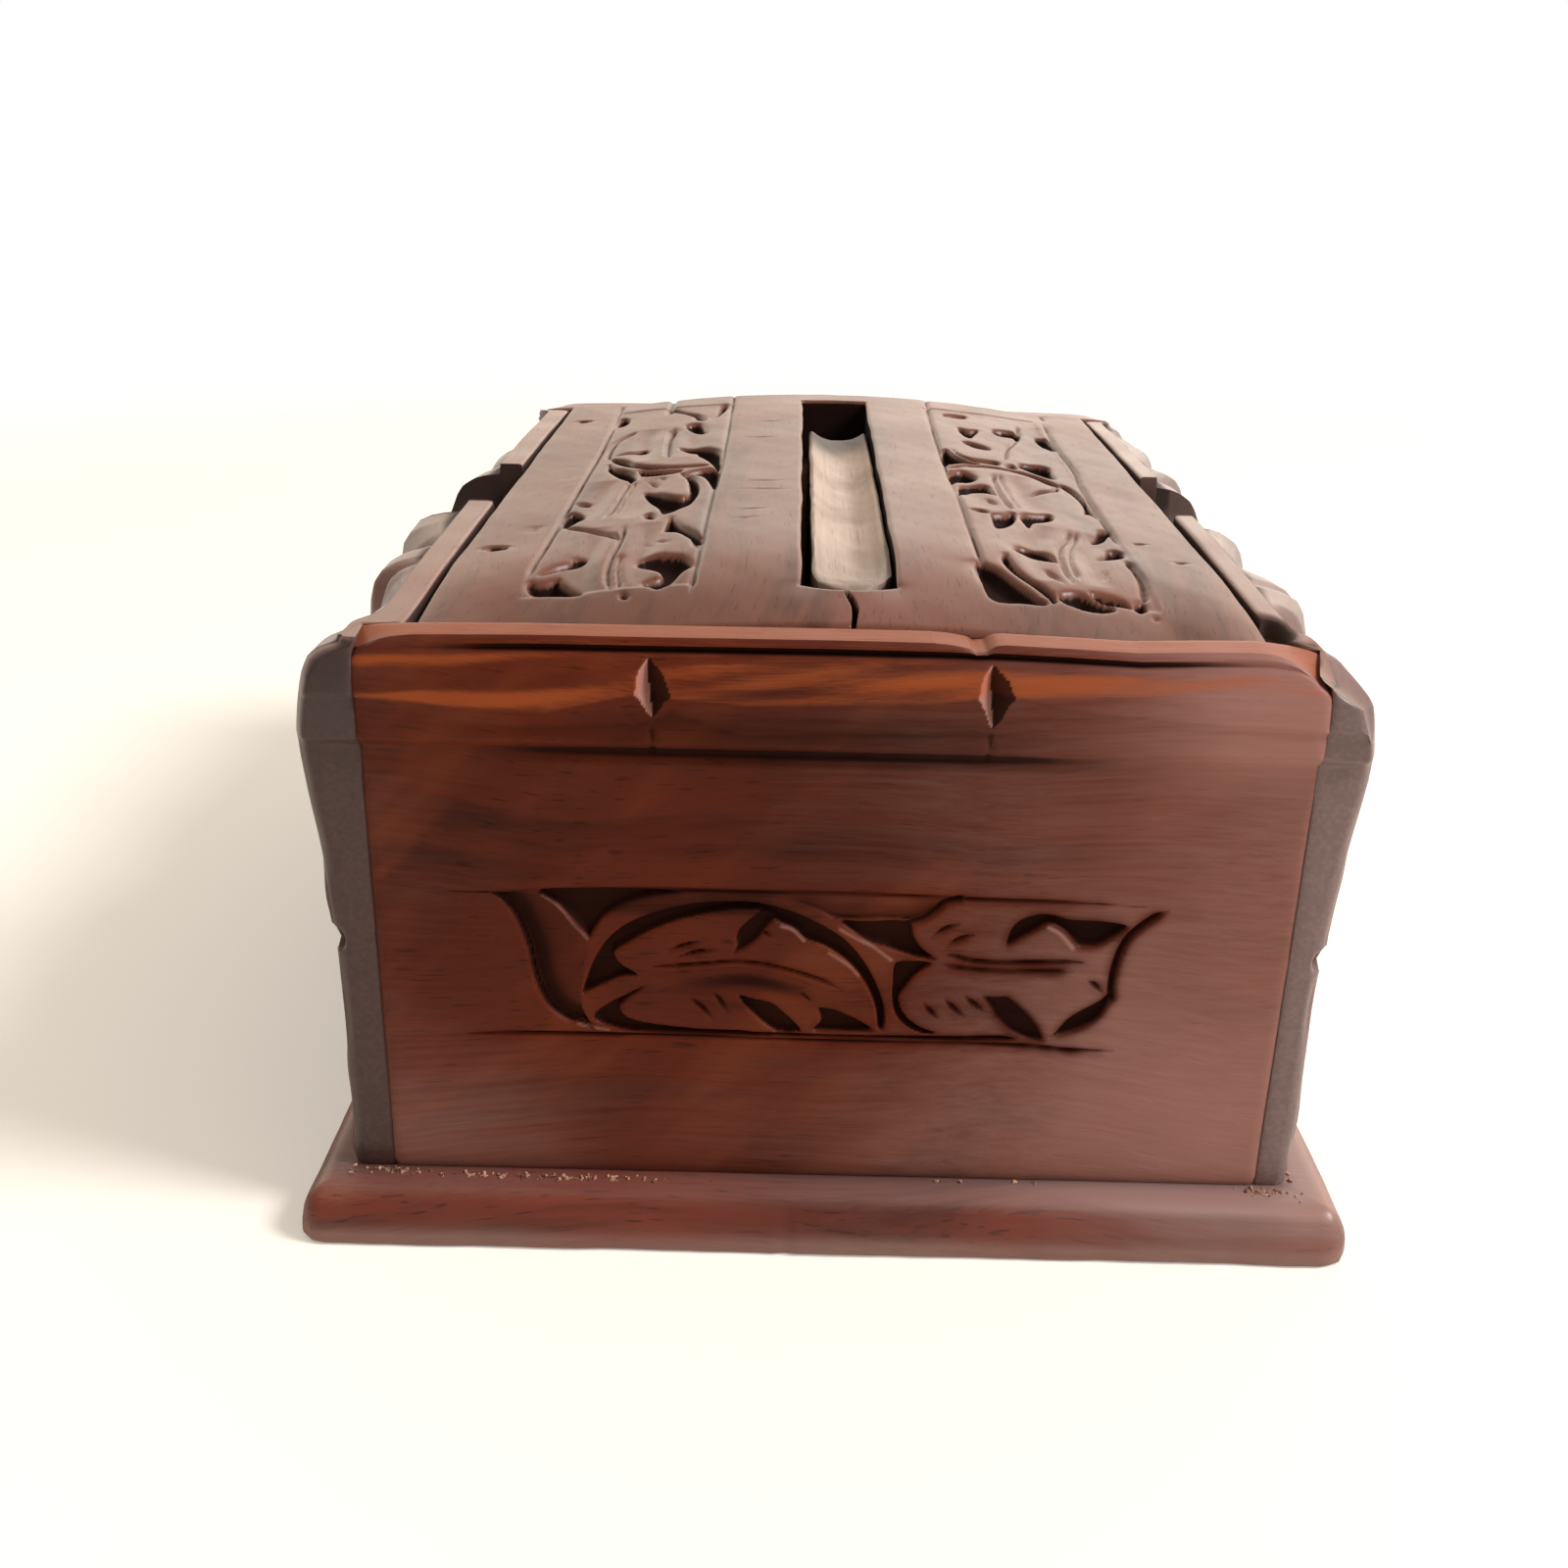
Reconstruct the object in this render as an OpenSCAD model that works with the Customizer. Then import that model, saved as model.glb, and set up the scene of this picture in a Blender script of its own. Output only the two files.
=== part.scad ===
// Carved walnut lift-up dispenser box.
// A case of four carved walls stands on a base plate. An inner box with a domed,
// slotted lid slides up and down inside it, over a fixed upright bar whose grooved
// top shows in the slot.
// Origin: centre of the base's underside. +Z up, the front towards -Y, millimetres.

/* [Case] */
// Width of the case over the flats of its side walls
body_w = 100; // [90:1:130]
// Length of the case over the flats of its front and back walls
body_l = 132; // [122:1:160]
// Height of the wall tops above the table, at the middle of each wall
case_h = 66.6; // [62:0.1:80]
// Drop of each wall top from its middle to its ends
wall_crown = 1.1; // [0.4:0.1:2]
// Thickness of the side walls
side_t = 7.6; // [6.5:0.1:9]
// Thickness of the front and back walls
end_t = 5; // [4:0.1:6.5]
// Wood of the side walls left outside the front and back walls' ends
rabbet_lip = 3.7; // [2.5:0.1:5]
// Width of the flat carved on the upright corners
corner_flat = 1.6; // [0.8:0.1:2.4]
// Height of the V notch in the upright corners
corner_notch_z = 33.5; // [20:0.5:45]
// Depth of the V notch in the upright corners
corner_notch_d = 1.8; // [1:0.1:2.5]

/* [Base] */
// Thickness of the base plate
base_t = 6; // [4:0.1:9]
// How far the base plate stands out past the walls
base_lip = 5.8; // [4:0.1:9]
// Radius of the base plate's corners in plan
base_corner_r = 3.5; // [2:0.1:6]
// How far the rounded edge of the base plate swells out
base_bulge = 1.9; // [1:0.1:2.4]

/* [Moulding] */
// Height of the moulding carved along the wall tops
mould_h = 13.5; // [11:0.1:16]
// How far the moulding stands out from the flats of the walls
mould_out = 2; // [1.2:0.1:2.6]
// Width of the flat strip left along the top of the side walls
side_strip = 3; // [2:0.1:4]
// Width of the flat strip left along the top of the front and back walls
end_strip = 4; // [3:0.1:4.5]
// Depth of the cut line under the moulding
line_d = 0.6; // [0.3:0.1:1]
// Length of the hollow that fairs the side moulding into the wall
cove_h = 14; // [8:0.5:18]
// Width of the V cuts across the moulding
cut_w = 4.4; // [3:0.1:6]
// Depth of the V cuts across the moulding
cut_d = 2.4; // [1.5:0.1:3.5]
// Distance of the side walls' V cuts from the middle of the wall
side_cut = 39; // [30:0.5:48]
// Distance of the left V cut on the front from the middle
front_cut_left = 19; // [12:0.5:28]
// Distance of the right V cut on the front from the middle
front_cut_right = 14; // [12:0.5:28]

/* [Finger notches] */
// Width of the finger notch in each side wall
notch_w = 22; // [18:0.5:30]
// Depth of the finger notch below the wall top
notch_d = 9; // [7:0.5:12]
// Radius of the finger notch's bottom corners
notch_r = 5; // [3:0.5:6.5]

/* [Carved panels] */
// Depth of the sunk ground round the carved leaves
carve_d = 1.2; // [0.8:0.1:2]
// Height of the front panel's lower line
panel_z = 22.5; // [16:0.5:26]
// Height of the front panel between its two lines
panel_h = 16.5; // [12:0.5:20]
// Length of the front panel's sunk ground along its top
panel_top = 68; // [50:1:74]
// Length of the front panel's sunk ground along its bottom
panel_bottom = 49; // [36:1:50]
// How far the panel's lines run on past its sunk ground at each end
line_over = 7; // [0:0.5:10]
// Distance from the lid's middle to the near edge of each lid band
band_in = 15.3; // [14:0.1:17]
// Width of each lid band
band_w = 16.7; // [12:0.1:18]
// Length of each lid band
band_l = 114; // [100:1:118]
// Ground left on both sides of the widest part of a leaf
leaf_margin = 1.8; // [1:0.1:2.5]
// Length of the panels' longer leaf
leaf_l = 29; // [24:0.5:30]
// Length of the panels' shorter leaf
short_leaf_l = 23; // [18:0.5:26]
// Distance from the panel's middle to where its two leaves meet
leaf_meet = 5.5; // [3:0.5:6]
// Tilt of the leaves in the panels
leaf_tilt = 7; // [0:1:10]
// Width of the petal at the panel's left end
petal_w = 5; // [3:0.1:6]
// Wood left between the side walls' panels and the ends of the walls
panel_end = 2.5; // [2:0.1:8]
// Number of leaves along each lid band
lid_leaves = 4; // [3:1:5]
// Tilt of the lid's leaves, to and fro
lid_leaf_tilt = 12; // [0:1:16]
// How far the tips of the lid's leaves run into each other
leaf_lap = 1; // [0.5:0.1:2]

/* [Lid] */
// Height of the lid's crown above the wall tops
lid_rise = 2.7; // [1.5:0.1:4]
// Drop of the lid's top from its crown to its side edges
lid_sag = 4.1; // [2.5:0.1:5]
// Drop of the lid's top at its front and back edges
lid_end_drop = 3.2; // [2:0.1:3.6]
// Length over which the lid's ends round down
lid_end_run = 13; // [8:0.5:16]
// Thickness of the lid at its side edges
lid_edge_t = 5; // [4:0.1:7]
// Width of the slot in the lid
slot_w = 9.9; // [9.4:0.1:12]
// Wood left between each end of the slot and the inner box's end boards
slot_margin = 0.7; // [0.3:0.1:3]
// How far the slot lies to the right of the middle
slot_shift = 0.9; // [0:0.1:2]

/* [Inner box] */
// Thickness of the inner box's boards
box_t = 7; // [5:0.1:8]
// Gap between the inner box and each side wall
side_gap = 0.9; // [0.4:0.1:1.5]
// Gap between the inner box and the front and back walls
end_gap = 0.5; // [0.3:0.1:1]
// Gap under the inner box when it is down
rest_gap = 0.3; // [0.2:0.1:0.6]
// How far the inner box lifts, until its floor meets the rims of the bar's groove
lift = 40; // [30:1:44]
// Thickness of the sloping floor boards, measured upright
ramp_t = 5; // [4:0.1:7]
// Slope of the floor boards
ramp_slope = 18; // [12:1:24]
// Gap between the floor boards and the bar
ramp_gap = 0.9; // [0.5:0.1:1.5]

/* [Lifter bar] */
// Thickness of the upright bar
bar_w = 8.2; // [7.6:0.1:8.4]
// Length of the upright bar
bar_l = 82; // [70:1:100]
// Depth of the bar's top below the lid's crown
bar_drop = 1.1; // [0.5:0.1:2]
// Gap between the bar and the right side of the slot
bar_side_gap = 0.5; // [0.3:0.1:0.7]
// Gap between the bar's front and the slot's front end
bar_front_gap = 0.8; // [0.4:0.1:2]
// Radius of the groove along the bar's top
groove_r = 4.2; // [4:0.1:4.6]
// Width of the flat rim left on each side of the groove
groove_rim = 0.2; // [0.2:0.05:0.5]
// Depth of the housing in the base plate that holds the bar's foot
bar_housing = 2; // [1:0.1:2.5]

/* [Nails] */
// Diameter of the nails
nail_d = 1.4; // [1:0.1:1.8]
// Length of the nails
nail_l = 13; // [12:0.5:16]
// Diameter of the nail heads
head_d = 2.6; // [2.2:0.1:3.4]
// Thickness of the nail heads
head_t = 0.6; // [0.4:0.1:1]
// Clearance round each nail
nail_fit = 0.02; // [0.01:0.01:0.05]
// Distance of the lid's front nails from its front edge
lid_nail_front = 25.5; // [15:0.5:40]
// Distance of the lid's back nails from its back edge
lid_nail_back = 16.5; // [15:0.5:40]
// Distance of the front and back walls' nails from the middle of the width
wall_nail_gap_x = 30; // [20:1:36]
// Distance of the side walls' nails from the middle of the length
wall_nail_gap_y = 45; // [30:1:52]
// Distance of the bar's end nails from the bar's middle
bar_nail_gap = 30; // [20:1:34]
// Height of the inner box's nails above its lower edge and below its upper edge
box_nail_gap = 9; // [6:1:14]

/* [Hidden] */
$fn = 64;

// Case
half_w = body_w / 2;
half_l = body_l / 2;
open_x = half_w - side_t;
open_y = half_l - end_t;
panel_x = half_w - rabbet_lip;
mould_z = case_h - mould_h;
line_w = line_d * 2;
side_panel_y = half_l - panel_end - panel_top / 2;

// Inner box and lid
box_x = open_x - side_gap;
box_y = open_y - end_gap;
store_x = box_x - box_t;
store_y = box_y - box_t;
slot_l = 2 * (store_y - slot_margin);
box_floor = base_t + rest_gap;
lid_top = case_h + lid_rise;
lid_edge = lid_top - lid_sag;
lid_under = lid_edge - lid_edge_t;
dome_r = (box_x * box_x + lid_sag * lid_sag) / (2 * lid_sag);

// Bar and sloping floor
bar_top = lid_top - bar_drop;
bar_foot = base_t - bar_housing;
bar_x = slot_shift + slot_w / 2 - bar_side_gap - bar_w / 2;
bar_y = -slot_l / 2 + bar_front_gap + bar_l / 2;
ramp_low = bar_top - lift;
ramp_in = bar_w / 2 + ramp_gap;

// Drawing
past = 1;
deep = 30;
steps = 12;

// Points of the arc from p to q that swells out by rise on the right of its way
function bow(p, q, rise) =
    let (
        way = q - p,
        chord = norm(way),
        along = way / chord,
        out = [along.y, -along.x] * sign(rise),
        depth = abs(rise),
        r = (chord * chord / 4 + depth * depth) / (2 * depth),
        centre = (p + q) / 2 + out * (depth - r),
        half = asin(chord / 2 / r)
    )
    [for (i = [0 : steps])
        let (turn = half * (2 * i / steps - 1))
        centre + along * r * sin(turn) + out * r * cos(turn)];

// Swell of a quarter circle of radius r
function quarter(r) = r * (1 - sqrt(0.5));

// An outline up the right side, closed by its mirror image down the left side
function both_sides(points) =
    concat(points, [for (i = [len(points) - 1 : -1 : 0]) [-points[i].x, points[i].y]]);

// Rectangle with round corners, about the origin
function rounded(half_x, half_y, r) = concat(
    bow([half_x, half_y - r], [half_x - r, half_y], quarter(r)),
    bow([r - half_x, half_y], [-half_x, half_y - r], quarter(r)),
    bow([-half_x, r - half_y], [r - half_x, -half_y], quarter(r)),
    bow([half_x - r, -half_y], [half_x, r - half_y], quarter(r))
);

// Outline of the side walls: distance from the middle, then height
function side_outline() =
    let (
        foot = half_w + mould_out * 0.9,
        waist = [half_w + mould_out * 0.6, mould_z + mould_h * 0.36],
        strip = open_x + side_strip
    )
    concat(
        [[half_w, base_t]],
        bow([half_w, mould_z - line_w - cove_h], [foot, mould_z - line_w], -mould_out / 3),
        [[foot - line_d, mould_z]],
        bow([foot, mould_z + line_w], waist, line_d),
        bow(waist, [strip, case_h - line_d], mould_out),
        [[strip, case_h]]
    );

// Outline of the front and back walls: distance from the middle, then height
function end_outline() =
    let (
        waist = [half_l + mould_out * 0.4, mould_z + mould_h * 0.42],
        strip = open_y + end_strip
    )
    concat(
        [[half_l, base_t], [half_l, mould_z - line_w], [half_l - line_d, mould_z]],
        bow([half_l + mould_out * 0.5, mould_z + line_w], waist, line_d),
        bow(waist, [half_l, case_h - line_w * 1.5], mould_out * 0.7),
        [[strip - line_d / 2, case_h - line_w], [strip, case_h]]
    );

// Height of the lid's top at a distance x from its middle
function dome(x) = lid_top - dome_r + sqrt(dome_r * dome_r - x * x);

module along_x(length) {
    rotate([90, 0, 90])
        linear_extrude(length, center = true)
            children();
}

module along_y(length) {
    rotate([90, 0, 0])
        linear_extrude(length, center = true)
            children();
}

module mirror_x() {
    for (side = [0, 1])
        mirror([side, 0, 0])
            children();
}

module mirror_y() {
    for (side = [0, 1])
        mirror([0, side, 0])
            children();
}

// Block centred on X and Y, between the heights z0 and z1
module block(half_x, half_y, z0, z1) {
    translate([-half_x, -half_y, z0])
        cube([2 * half_x, 2 * half_y, z1 - z0]);
}

// Nail with its head down, from the origin upwards
module nail(fit = 0) {
    translate([0, 0, fit > 0 ? -past : 0])
        cylinder(d = head_d + 2 * fit, h = head_t + (fit > 0 ? past : 0));
    translate([0, 0, head_t])
        cylinder(d = nail_d + 2 * fit, h = nail_l - head_t + fit);
}

// The places of each group of nails; nails come in as children
module base_nail_places() {
    for (x = [-1, 1], y = [-1, 0, 1])
        translate([x * (half_w - side_t / 2), y * wall_nail_gap_y, 0])
            children();
    for (x = [-1, 1], y = [-1, 1])
        translate([x * wall_nail_gap_x, y * (half_l - end_t / 2), 0])
            children();
    for (y = [-1, 0, 1])
        translate([bar_x, bar_y + y * bar_nail_gap, 0])
            children();
}

module lid_nail_places() {
    x = box_x - box_t / 2;
    for (side = [-1, 1], y = [lid_nail_front - box_y, box_y - lid_nail_back])
        translate([side * x, y, dome(x + head_d / 2)])
            rotate([180, 0, 0])
                children();
}

module box_nail_places() {
    for (side = [-1, 1])
        mirror_y() {
            for (z = [box_floor + box_nail_gap, lid_under - box_nail_gap])
                translate([side * (box_x - box_t / 2), box_y, z])
                    rotate([90, 0, 0])
                        children();
            translate([ramp_mid(side), box_y, ramp_mid_z(side)])
                rotate([90, 0, 0])
                    children();
        }
}

// Inner edge, middle and height of a floor board, on the side of its sign
function ramp_edge(side) = bar_x + side * ramp_in;
function ramp_mid(side) = (ramp_edge(side) + side * store_x) / 2;
function ramp_top(side, x) = ramp_low + abs(x - ramp_edge(side)) * tan(ramp_slope);
function ramp_mid_z(side) = ramp_top(side, ramp_mid(side)) - ramp_t / 2;

// Case --------------------------------------------------------------------

// The four walls as one block, before the well is cut and the joints are sawn
module wall_block() {
    difference() {
        intersection() {
            along_y(body_l + deep) polygon(both_sides(side_outline()));
            along_x(body_w + deep) polygon(both_sides(end_outline()));
        }
        corner_cuts();
    }
}

// Flat and V notch carved on each upright corner
module corner_cuts() {
    flat_x = corner_flat / sqrt(2);
    mirror_x() mirror_y()
        translate([half_w, half_l, 0])
            rotate([0, 0, 45]) {
                translate([-flat_x, -deep / 2, 0])
                    cube([deep, deep, mould_z - line_w]);
                along_y(deep)
                    polygon([
                        [-flat_x - corner_notch_d, corner_notch_z],
                        [past, corner_notch_z + corner_notch_d + flat_x + past],
                        [past, corner_notch_z - corner_notch_d - flat_x - past]
                    ]);
            }
}

// Space under a wall top that drops by wall_crown towards both ends
module under_crown(half) {
    z = case_h - wall_crown;
    polygon(concat([[-half, 0], [half, 0]], bow([half, z], [-half, z], wall_crown)));
}

// Leaf with two pointed tips on the X axis, upright through the origin
module leaf(length, width) {
    r = (length * length + width * width) / (4 * width);
    intersection_for (side = [-1, 1])
        translate([0, side * (r - width / 2), 0])
            cylinder(r = r, h = deep, center = true);
}

// Two leaves and a petal, as seen on the wall that faces -Y
module panel_leaves() {
    width = panel_h - 2 * leaf_margin;
    slant = (panel_top - panel_bottom) / 2;
    petal_x = (panel_top + panel_bottom) / 4 - petal_w / 2 - leaf_margin;
    translate([0, 0, panel_z + panel_h / 2])
        rotate([90, 0, 0]) {
            translate([leaf_meet - leaf_l / 2, 0, 0])
                rotate([0, 0, -leaf_tilt])
                    leaf(leaf_l, width);
            translate([leaf_meet + short_leaf_l / 2, 0, 0])
                rotate([0, 0, leaf_tilt])
                    leaf(short_leaf_l, width);
            translate([-petal_x, 0, 0])
                rotate([0, 0, atan2(panel_h, -slant)])
                    leaf(norm([panel_h, slant]), petal_w);
        }
}

// Ground sunk round the leaves and its two lines, on the wall that faces -Y at
// the distance out
module sunk_panel(out, over) {
    top = panel_top / 2;
    bottom = panel_bottom / 2;
    difference() {
        translate([0, carve_d - out - deep / 2, 0])
            along_y(deep)
                polygon([
                    [-bottom, panel_z], [bottom, panel_z],
                    [top, panel_z + panel_h], [-top, panel_z + panel_h]
                ]);
        translate([0, -out, 0])
            panel_leaves();
    }
    for (line = [[bottom, panel_z], [top, panel_z + panel_h]])
        translate([-line.x - over, line_d - out - deep, line.y - line_d / 2])
            cube([2 * (line.x + over), deep, line_d]);
}

// V cut down the moulding of a wall that faces -Y
module end_cut(x) {
    translate([x, -half_l - mould_out, mould_z + mould_h * 0.3])
        linear_extrude(mould_h * 0.56)
            polygon([[0, cut_d], [-cut_w / 2, -past], [cut_w / 2, -past]]);
}

module end_wall(cuts) {
    difference() {
        intersection() {
            wall_block();
            translate([0, -open_y - deep / 2, 0])
                block(panel_x, deep / 2, base_t, case_h + past);
            along_y(body_l + deep) under_crown(half_w);
        }
        sunk_panel(half_l, line_over);
        for (x = cuts)
            end_cut(x);
        base_nail_places() nail(nail_fit);
    }
}

// V cut down the slope of a side wall's moulding
module side_cut_at(y) {
    run = side_t - side_strip + mould_out;
    fall = mould_h / 2;
    translate([open_x + side_strip, y, case_h])
        rotate([0, atan2(fall, run), 0])
            translate([0, 0, mould_out])
                along_x(deep)
                    polygon([[0, -cut_d], [cut_w / 2, past], [-cut_w / 2, past]]);
}

// Finger notch through a side wall
module finger_notch() {
    half = notch_w / 2;
    z = case_h - notch_d;
    translate([half_w, 0, 0])
        along_x(deep)
            polygon(concat(
                [[-half, case_h + past]],
                bow([-half, z + notch_r], [notch_r - half, z], quarter(notch_r)),
                bow([half - notch_r, z], [half, z + notch_r], quarter(notch_r)),
                [[half, case_h + past]]
            ));
}

// Side wall on the +X side
module side_wall() {
    difference() {
        intersection() {
            wall_block();
            along_x(body_w + deep) under_crown(half_l);
            translate([open_x + deep / 2, 0, 0])
                block(deep / 2, half_l + deep / 2, base_t, case_h + past);
        }
        mirror_y()
            translate([0, open_y + deep / 2, 0])
                block(panel_x, deep / 2, 0, case_h + past);
        rotate([0, 0, 90])
            mirror_x()
                translate([-side_panel_y, 0, 0])
                    sunk_panel(half_w, 0);
        side_cut_at(side_cut);
        side_cut_at(-side_cut);
        finger_notch();
        base_nail_places() nail(nail_fit);
    }
}

module base_plate() {
    out_x = half_w + base_lip;
    out_y = half_l + base_lip;
    color([0.42, 0.20, 0.14])
        difference() {
            intersection() {
                along_y(2 * out_y) polygon(both_sides(base_edge(out_x)));
                along_x(2 * out_x) polygon(both_sides(base_edge(out_y)));
                linear_extrude(base_t) polygon(rounded(out_x, out_y, base_corner_r));
            }
            translate([bar_x, bar_y, 0])
                block(bar_w / 2, bar_l / 2, bar_foot, base_t + past);
            base_nail_places() nail(nail_fit);
        }
}

function base_edge(out) =
    bow([out - base_bulge, 0], [out - base_bulge, base_t], base_bulge);

module front_wall() {
    color([0.46, 0.20, 0.12])
        end_wall([-front_cut_left, front_cut_right]);
}

module back_wall() {
    color([0.46, 0.20, 0.12])
        rotate([0, 0, 180])
            end_wall([-front_cut_left, front_cut_right]);
}

module left_wall() {
    color([0.36, 0.18, 0.13])
        mirror([1, 0, 0])
            side_wall();
}

module right_wall() {
    color([0.36, 0.18, 0.13])
        side_wall();
}

module lifter_bar() {
    chord = bar_w / 2 - groove_rim;
    color([0.72, 0.60, 0.48])
        difference() {
            translate([bar_x, bar_y, 0])
                difference() {
                    block(bar_w / 2, bar_l / 2, bar_foot, bar_top);
                    translate([0, 0, bar_top + sqrt(groove_r * groove_r - chord * chord)])
                        rotate([90, 0, 0])
                            cylinder(r = groove_r, h = bar_l + 2 * past, center = true);
                }
            base_nail_places() nail(nail_fit);
        }
}

module base_nails() {
    color([0.45, 0.43, 0.40])
        base_nail_places() nail();
}

// Inner box ---------------------------------------------------------------

// The lid before it is slotted, carved or nailed, with its top lowered by drop
module lid_blank(drop) {
    run = lid_end_run;
    fall = lid_end_drop;
    chord = norm([run, fall]);
    r = chord * chord / (2 * fall);
    swell = r - sqrt(r * r - chord * chord / 4);
    translate([0, 0, -drop])
        intersection() {
            along_y(2 * box_y)
                polygon(concat(
                    [[-box_x, lid_under], [box_x, lid_under]],
                    bow([box_x, lid_edge], [-box_x, lid_edge], lid_sag)
                ));
            along_x(2 * box_x)
                polygon(both_sides(concat(
                    [[box_y, lid_under]],
                    bow([box_y, lid_top - fall], [box_y - run, lid_top], swell)
                )));
        }
}

// Row of leaves along a lid band, tilted to and fro so that their tips meet
module lid_leaf_row() {
    pitch = band_l / lid_leaves;
    for (i = [0 : lid_leaves - 1])
        translate([0, (i + 0.5) * pitch - band_l / 2, lid_top])
            rotate([0, 0, 90 + (i % 2 == 0 ? -1 : 1) * lid_leaf_tilt])
                leaf(pitch / cos(lid_leaf_tilt) + leaf_lap, band_w - 2 * leaf_margin);
}

module lid_panel() {
    color([0.44, 0.27, 0.23])
        difference() {
            lid_blank(0);
            translate([slot_shift, 0, 0])
                block(slot_w / 2, slot_l / 2, lid_under - past, lid_top + past);
            difference() {
                mirror_x()
                    translate([band_in + band_w / 2, 0, 0])
                        difference() {
                            block(band_w / 2, band_l / 2, lid_under + past, lid_top + past);
                            lid_leaf_row();
                        }
                lid_blank(carve_d);
            }
            lid_nail_places() nail(nail_fit);
        }
}

// Inner wall across the box, at the +Y end
module inner_end() {
    color([0.50, 0.33, 0.24])
        difference() {
            translate([0, box_y - box_t / 2, 0])
                block(box_x, box_t / 2, box_floor, lid_under);
            box_nail_places() nail(nail_fit);
        }
}

module inner_back() {
    inner_end();
}

module inner_front() {
    mirror([0, 1, 0])
        inner_end();
}

// Inner wall along the box, on the +X side
module inner_side() {
    color([0.50, 0.33, 0.24])
        difference() {
            translate([box_x - box_t / 2, 0, 0])
                block(box_t / 2, store_y, box_floor, lid_under);
            lid_nail_places() nail(nail_fit);
            box_nail_places() nail(nail_fit);
        }
}

module inner_right() {
    inner_side();
}

module inner_left() {
    mirror([1, 0, 0])
        inner_side();
}

// Sloping floor board on the side of its sign
module ramp(side) {
    edge = ramp_edge(side);
    wall = side * store_x;
    color([0.56, 0.39, 0.29])
        difference() {
            along_y(2 * store_y)
                polygon([
                    [edge, ramp_low - ramp_t], [edge, ramp_low],
                    [wall, ramp_top(side, wall)], [wall, ramp_top(side, wall) - ramp_t]
                ]);
            box_nail_places() nail(nail_fit);
        }
}

module left_ramp() {
    ramp(-1);
}

module right_ramp() {
    ramp(1);
}

module lid_nails() {
    color([0.45, 0.43, 0.40])
        lid_nail_places() nail();
}

module box_nails() {
    color([0.45, 0.43, 0.40])
        box_nail_places() nail();
}

base_plate();
front_wall();
back_wall();
left_wall();
right_wall();
lifter_bar();
base_nails();
lid_panel();
inner_front();
inner_back();
inner_left();
inner_right();
left_ramp();
right_ramp();
lid_nails();
box_nails();
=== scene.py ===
import math

import bpy
import bmesh
import numpy as np
from mathutils import Matrix


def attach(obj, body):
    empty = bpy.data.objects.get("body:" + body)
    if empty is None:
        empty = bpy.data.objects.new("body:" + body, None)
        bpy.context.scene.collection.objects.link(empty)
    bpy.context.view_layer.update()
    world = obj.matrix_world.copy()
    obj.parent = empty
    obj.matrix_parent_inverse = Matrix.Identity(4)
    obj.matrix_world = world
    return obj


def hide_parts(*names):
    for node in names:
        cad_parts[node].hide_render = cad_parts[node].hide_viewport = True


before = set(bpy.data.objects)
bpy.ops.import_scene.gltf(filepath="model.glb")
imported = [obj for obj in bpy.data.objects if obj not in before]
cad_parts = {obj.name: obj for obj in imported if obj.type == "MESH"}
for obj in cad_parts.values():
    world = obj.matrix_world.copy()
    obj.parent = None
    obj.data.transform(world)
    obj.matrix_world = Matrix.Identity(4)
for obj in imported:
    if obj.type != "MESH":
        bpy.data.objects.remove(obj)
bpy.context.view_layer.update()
to_metres = 0.001

# ---------------------------------------------------------------------------
# The camera stands in front of the box, a little to its left and above it,
# and looks down on the lid.
lens = 37.69
eye = (-4.618, -213.40, 112.673)
look_down, look_left, tilt = 0.3923, 0.0043, 0.0210

ahead = np.array([-math.sin(look_left) * math.cos(look_down),
                  math.cos(look_left) * math.cos(look_down),
                  -math.sin(look_down)])
level = np.array([math.cos(look_left), math.sin(look_left), 0.0])
upright = np.cross(level, ahead)
to_right = math.cos(tilt) * level + math.sin(tilt) * upright
to_top = math.cos(tilt) * upright - math.sin(tilt) * level


def put(name, data):
    """A new object in the scene, at the origin."""
    made = bpy.data.objects.new(name, data)
    bpy.context.scene.collection.objects.link(made)
    return made


camera = put("Camera", bpy.data.cameras.new("Camera"))
camera.data.sensor_width = 36
camera.data.lens = lens
camera.data.clip_start = 0.01
turn = np.eye(4)
turn[:3, 0] = to_right
turn[:3, 1] = to_top
turn[:3, 2] = -ahead
turn[:3, 3] = np.array(eye) * to_metres
camera.matrix_world = Matrix(turn.tolist())
bpy.context.scene.camera = camera
bpy.context.scene.view_settings.view_transform = "Standard"

# ---------------------------------------------------------------------------
# A pale table top in soft daylight: a window to the right, a bright wall behind
# and above, and a dimmer room on the viewer's side.


def tint(red, green, blue):
    """A colour written as it shows on a screen, 0 to 255, in the shaders' own terms."""
    return tuple(
        c / 255 / 12.92 if c < 11 else ((c / 255 + 0.055) / 1.055) ** 2.4
        for c in (red, green, blue)
    ) + (1.0,)


class Wire:
    """A value on its way between nodes, which can be reckoned with as a number."""

    def __init__(self, bench, socket):
        self.bench = bench
        self.socket = socket

    def reckon(self, way, first, second=0.0):
        return self.bench.node("ShaderNodeMath", {"operation": way}, {0: first, 1: second})

    def __add__(self, other):
        return self.reckon("ADD", self, other)

    def __radd__(self, other):
        return self.reckon("ADD", other, self)

    def __sub__(self, other):
        return self.reckon("SUBTRACT", self, other)

    def __rsub__(self, other):
        return self.reckon("SUBTRACT", other, self)

    def __mul__(self, other):
        return self.reckon("MULTIPLY", self, other)

    def __rmul__(self, other):
        return self.reckon("MULTIPLY", other, self)

    def __truediv__(self, other):
        return self.reckon("DIVIDE", self, other)


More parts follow.
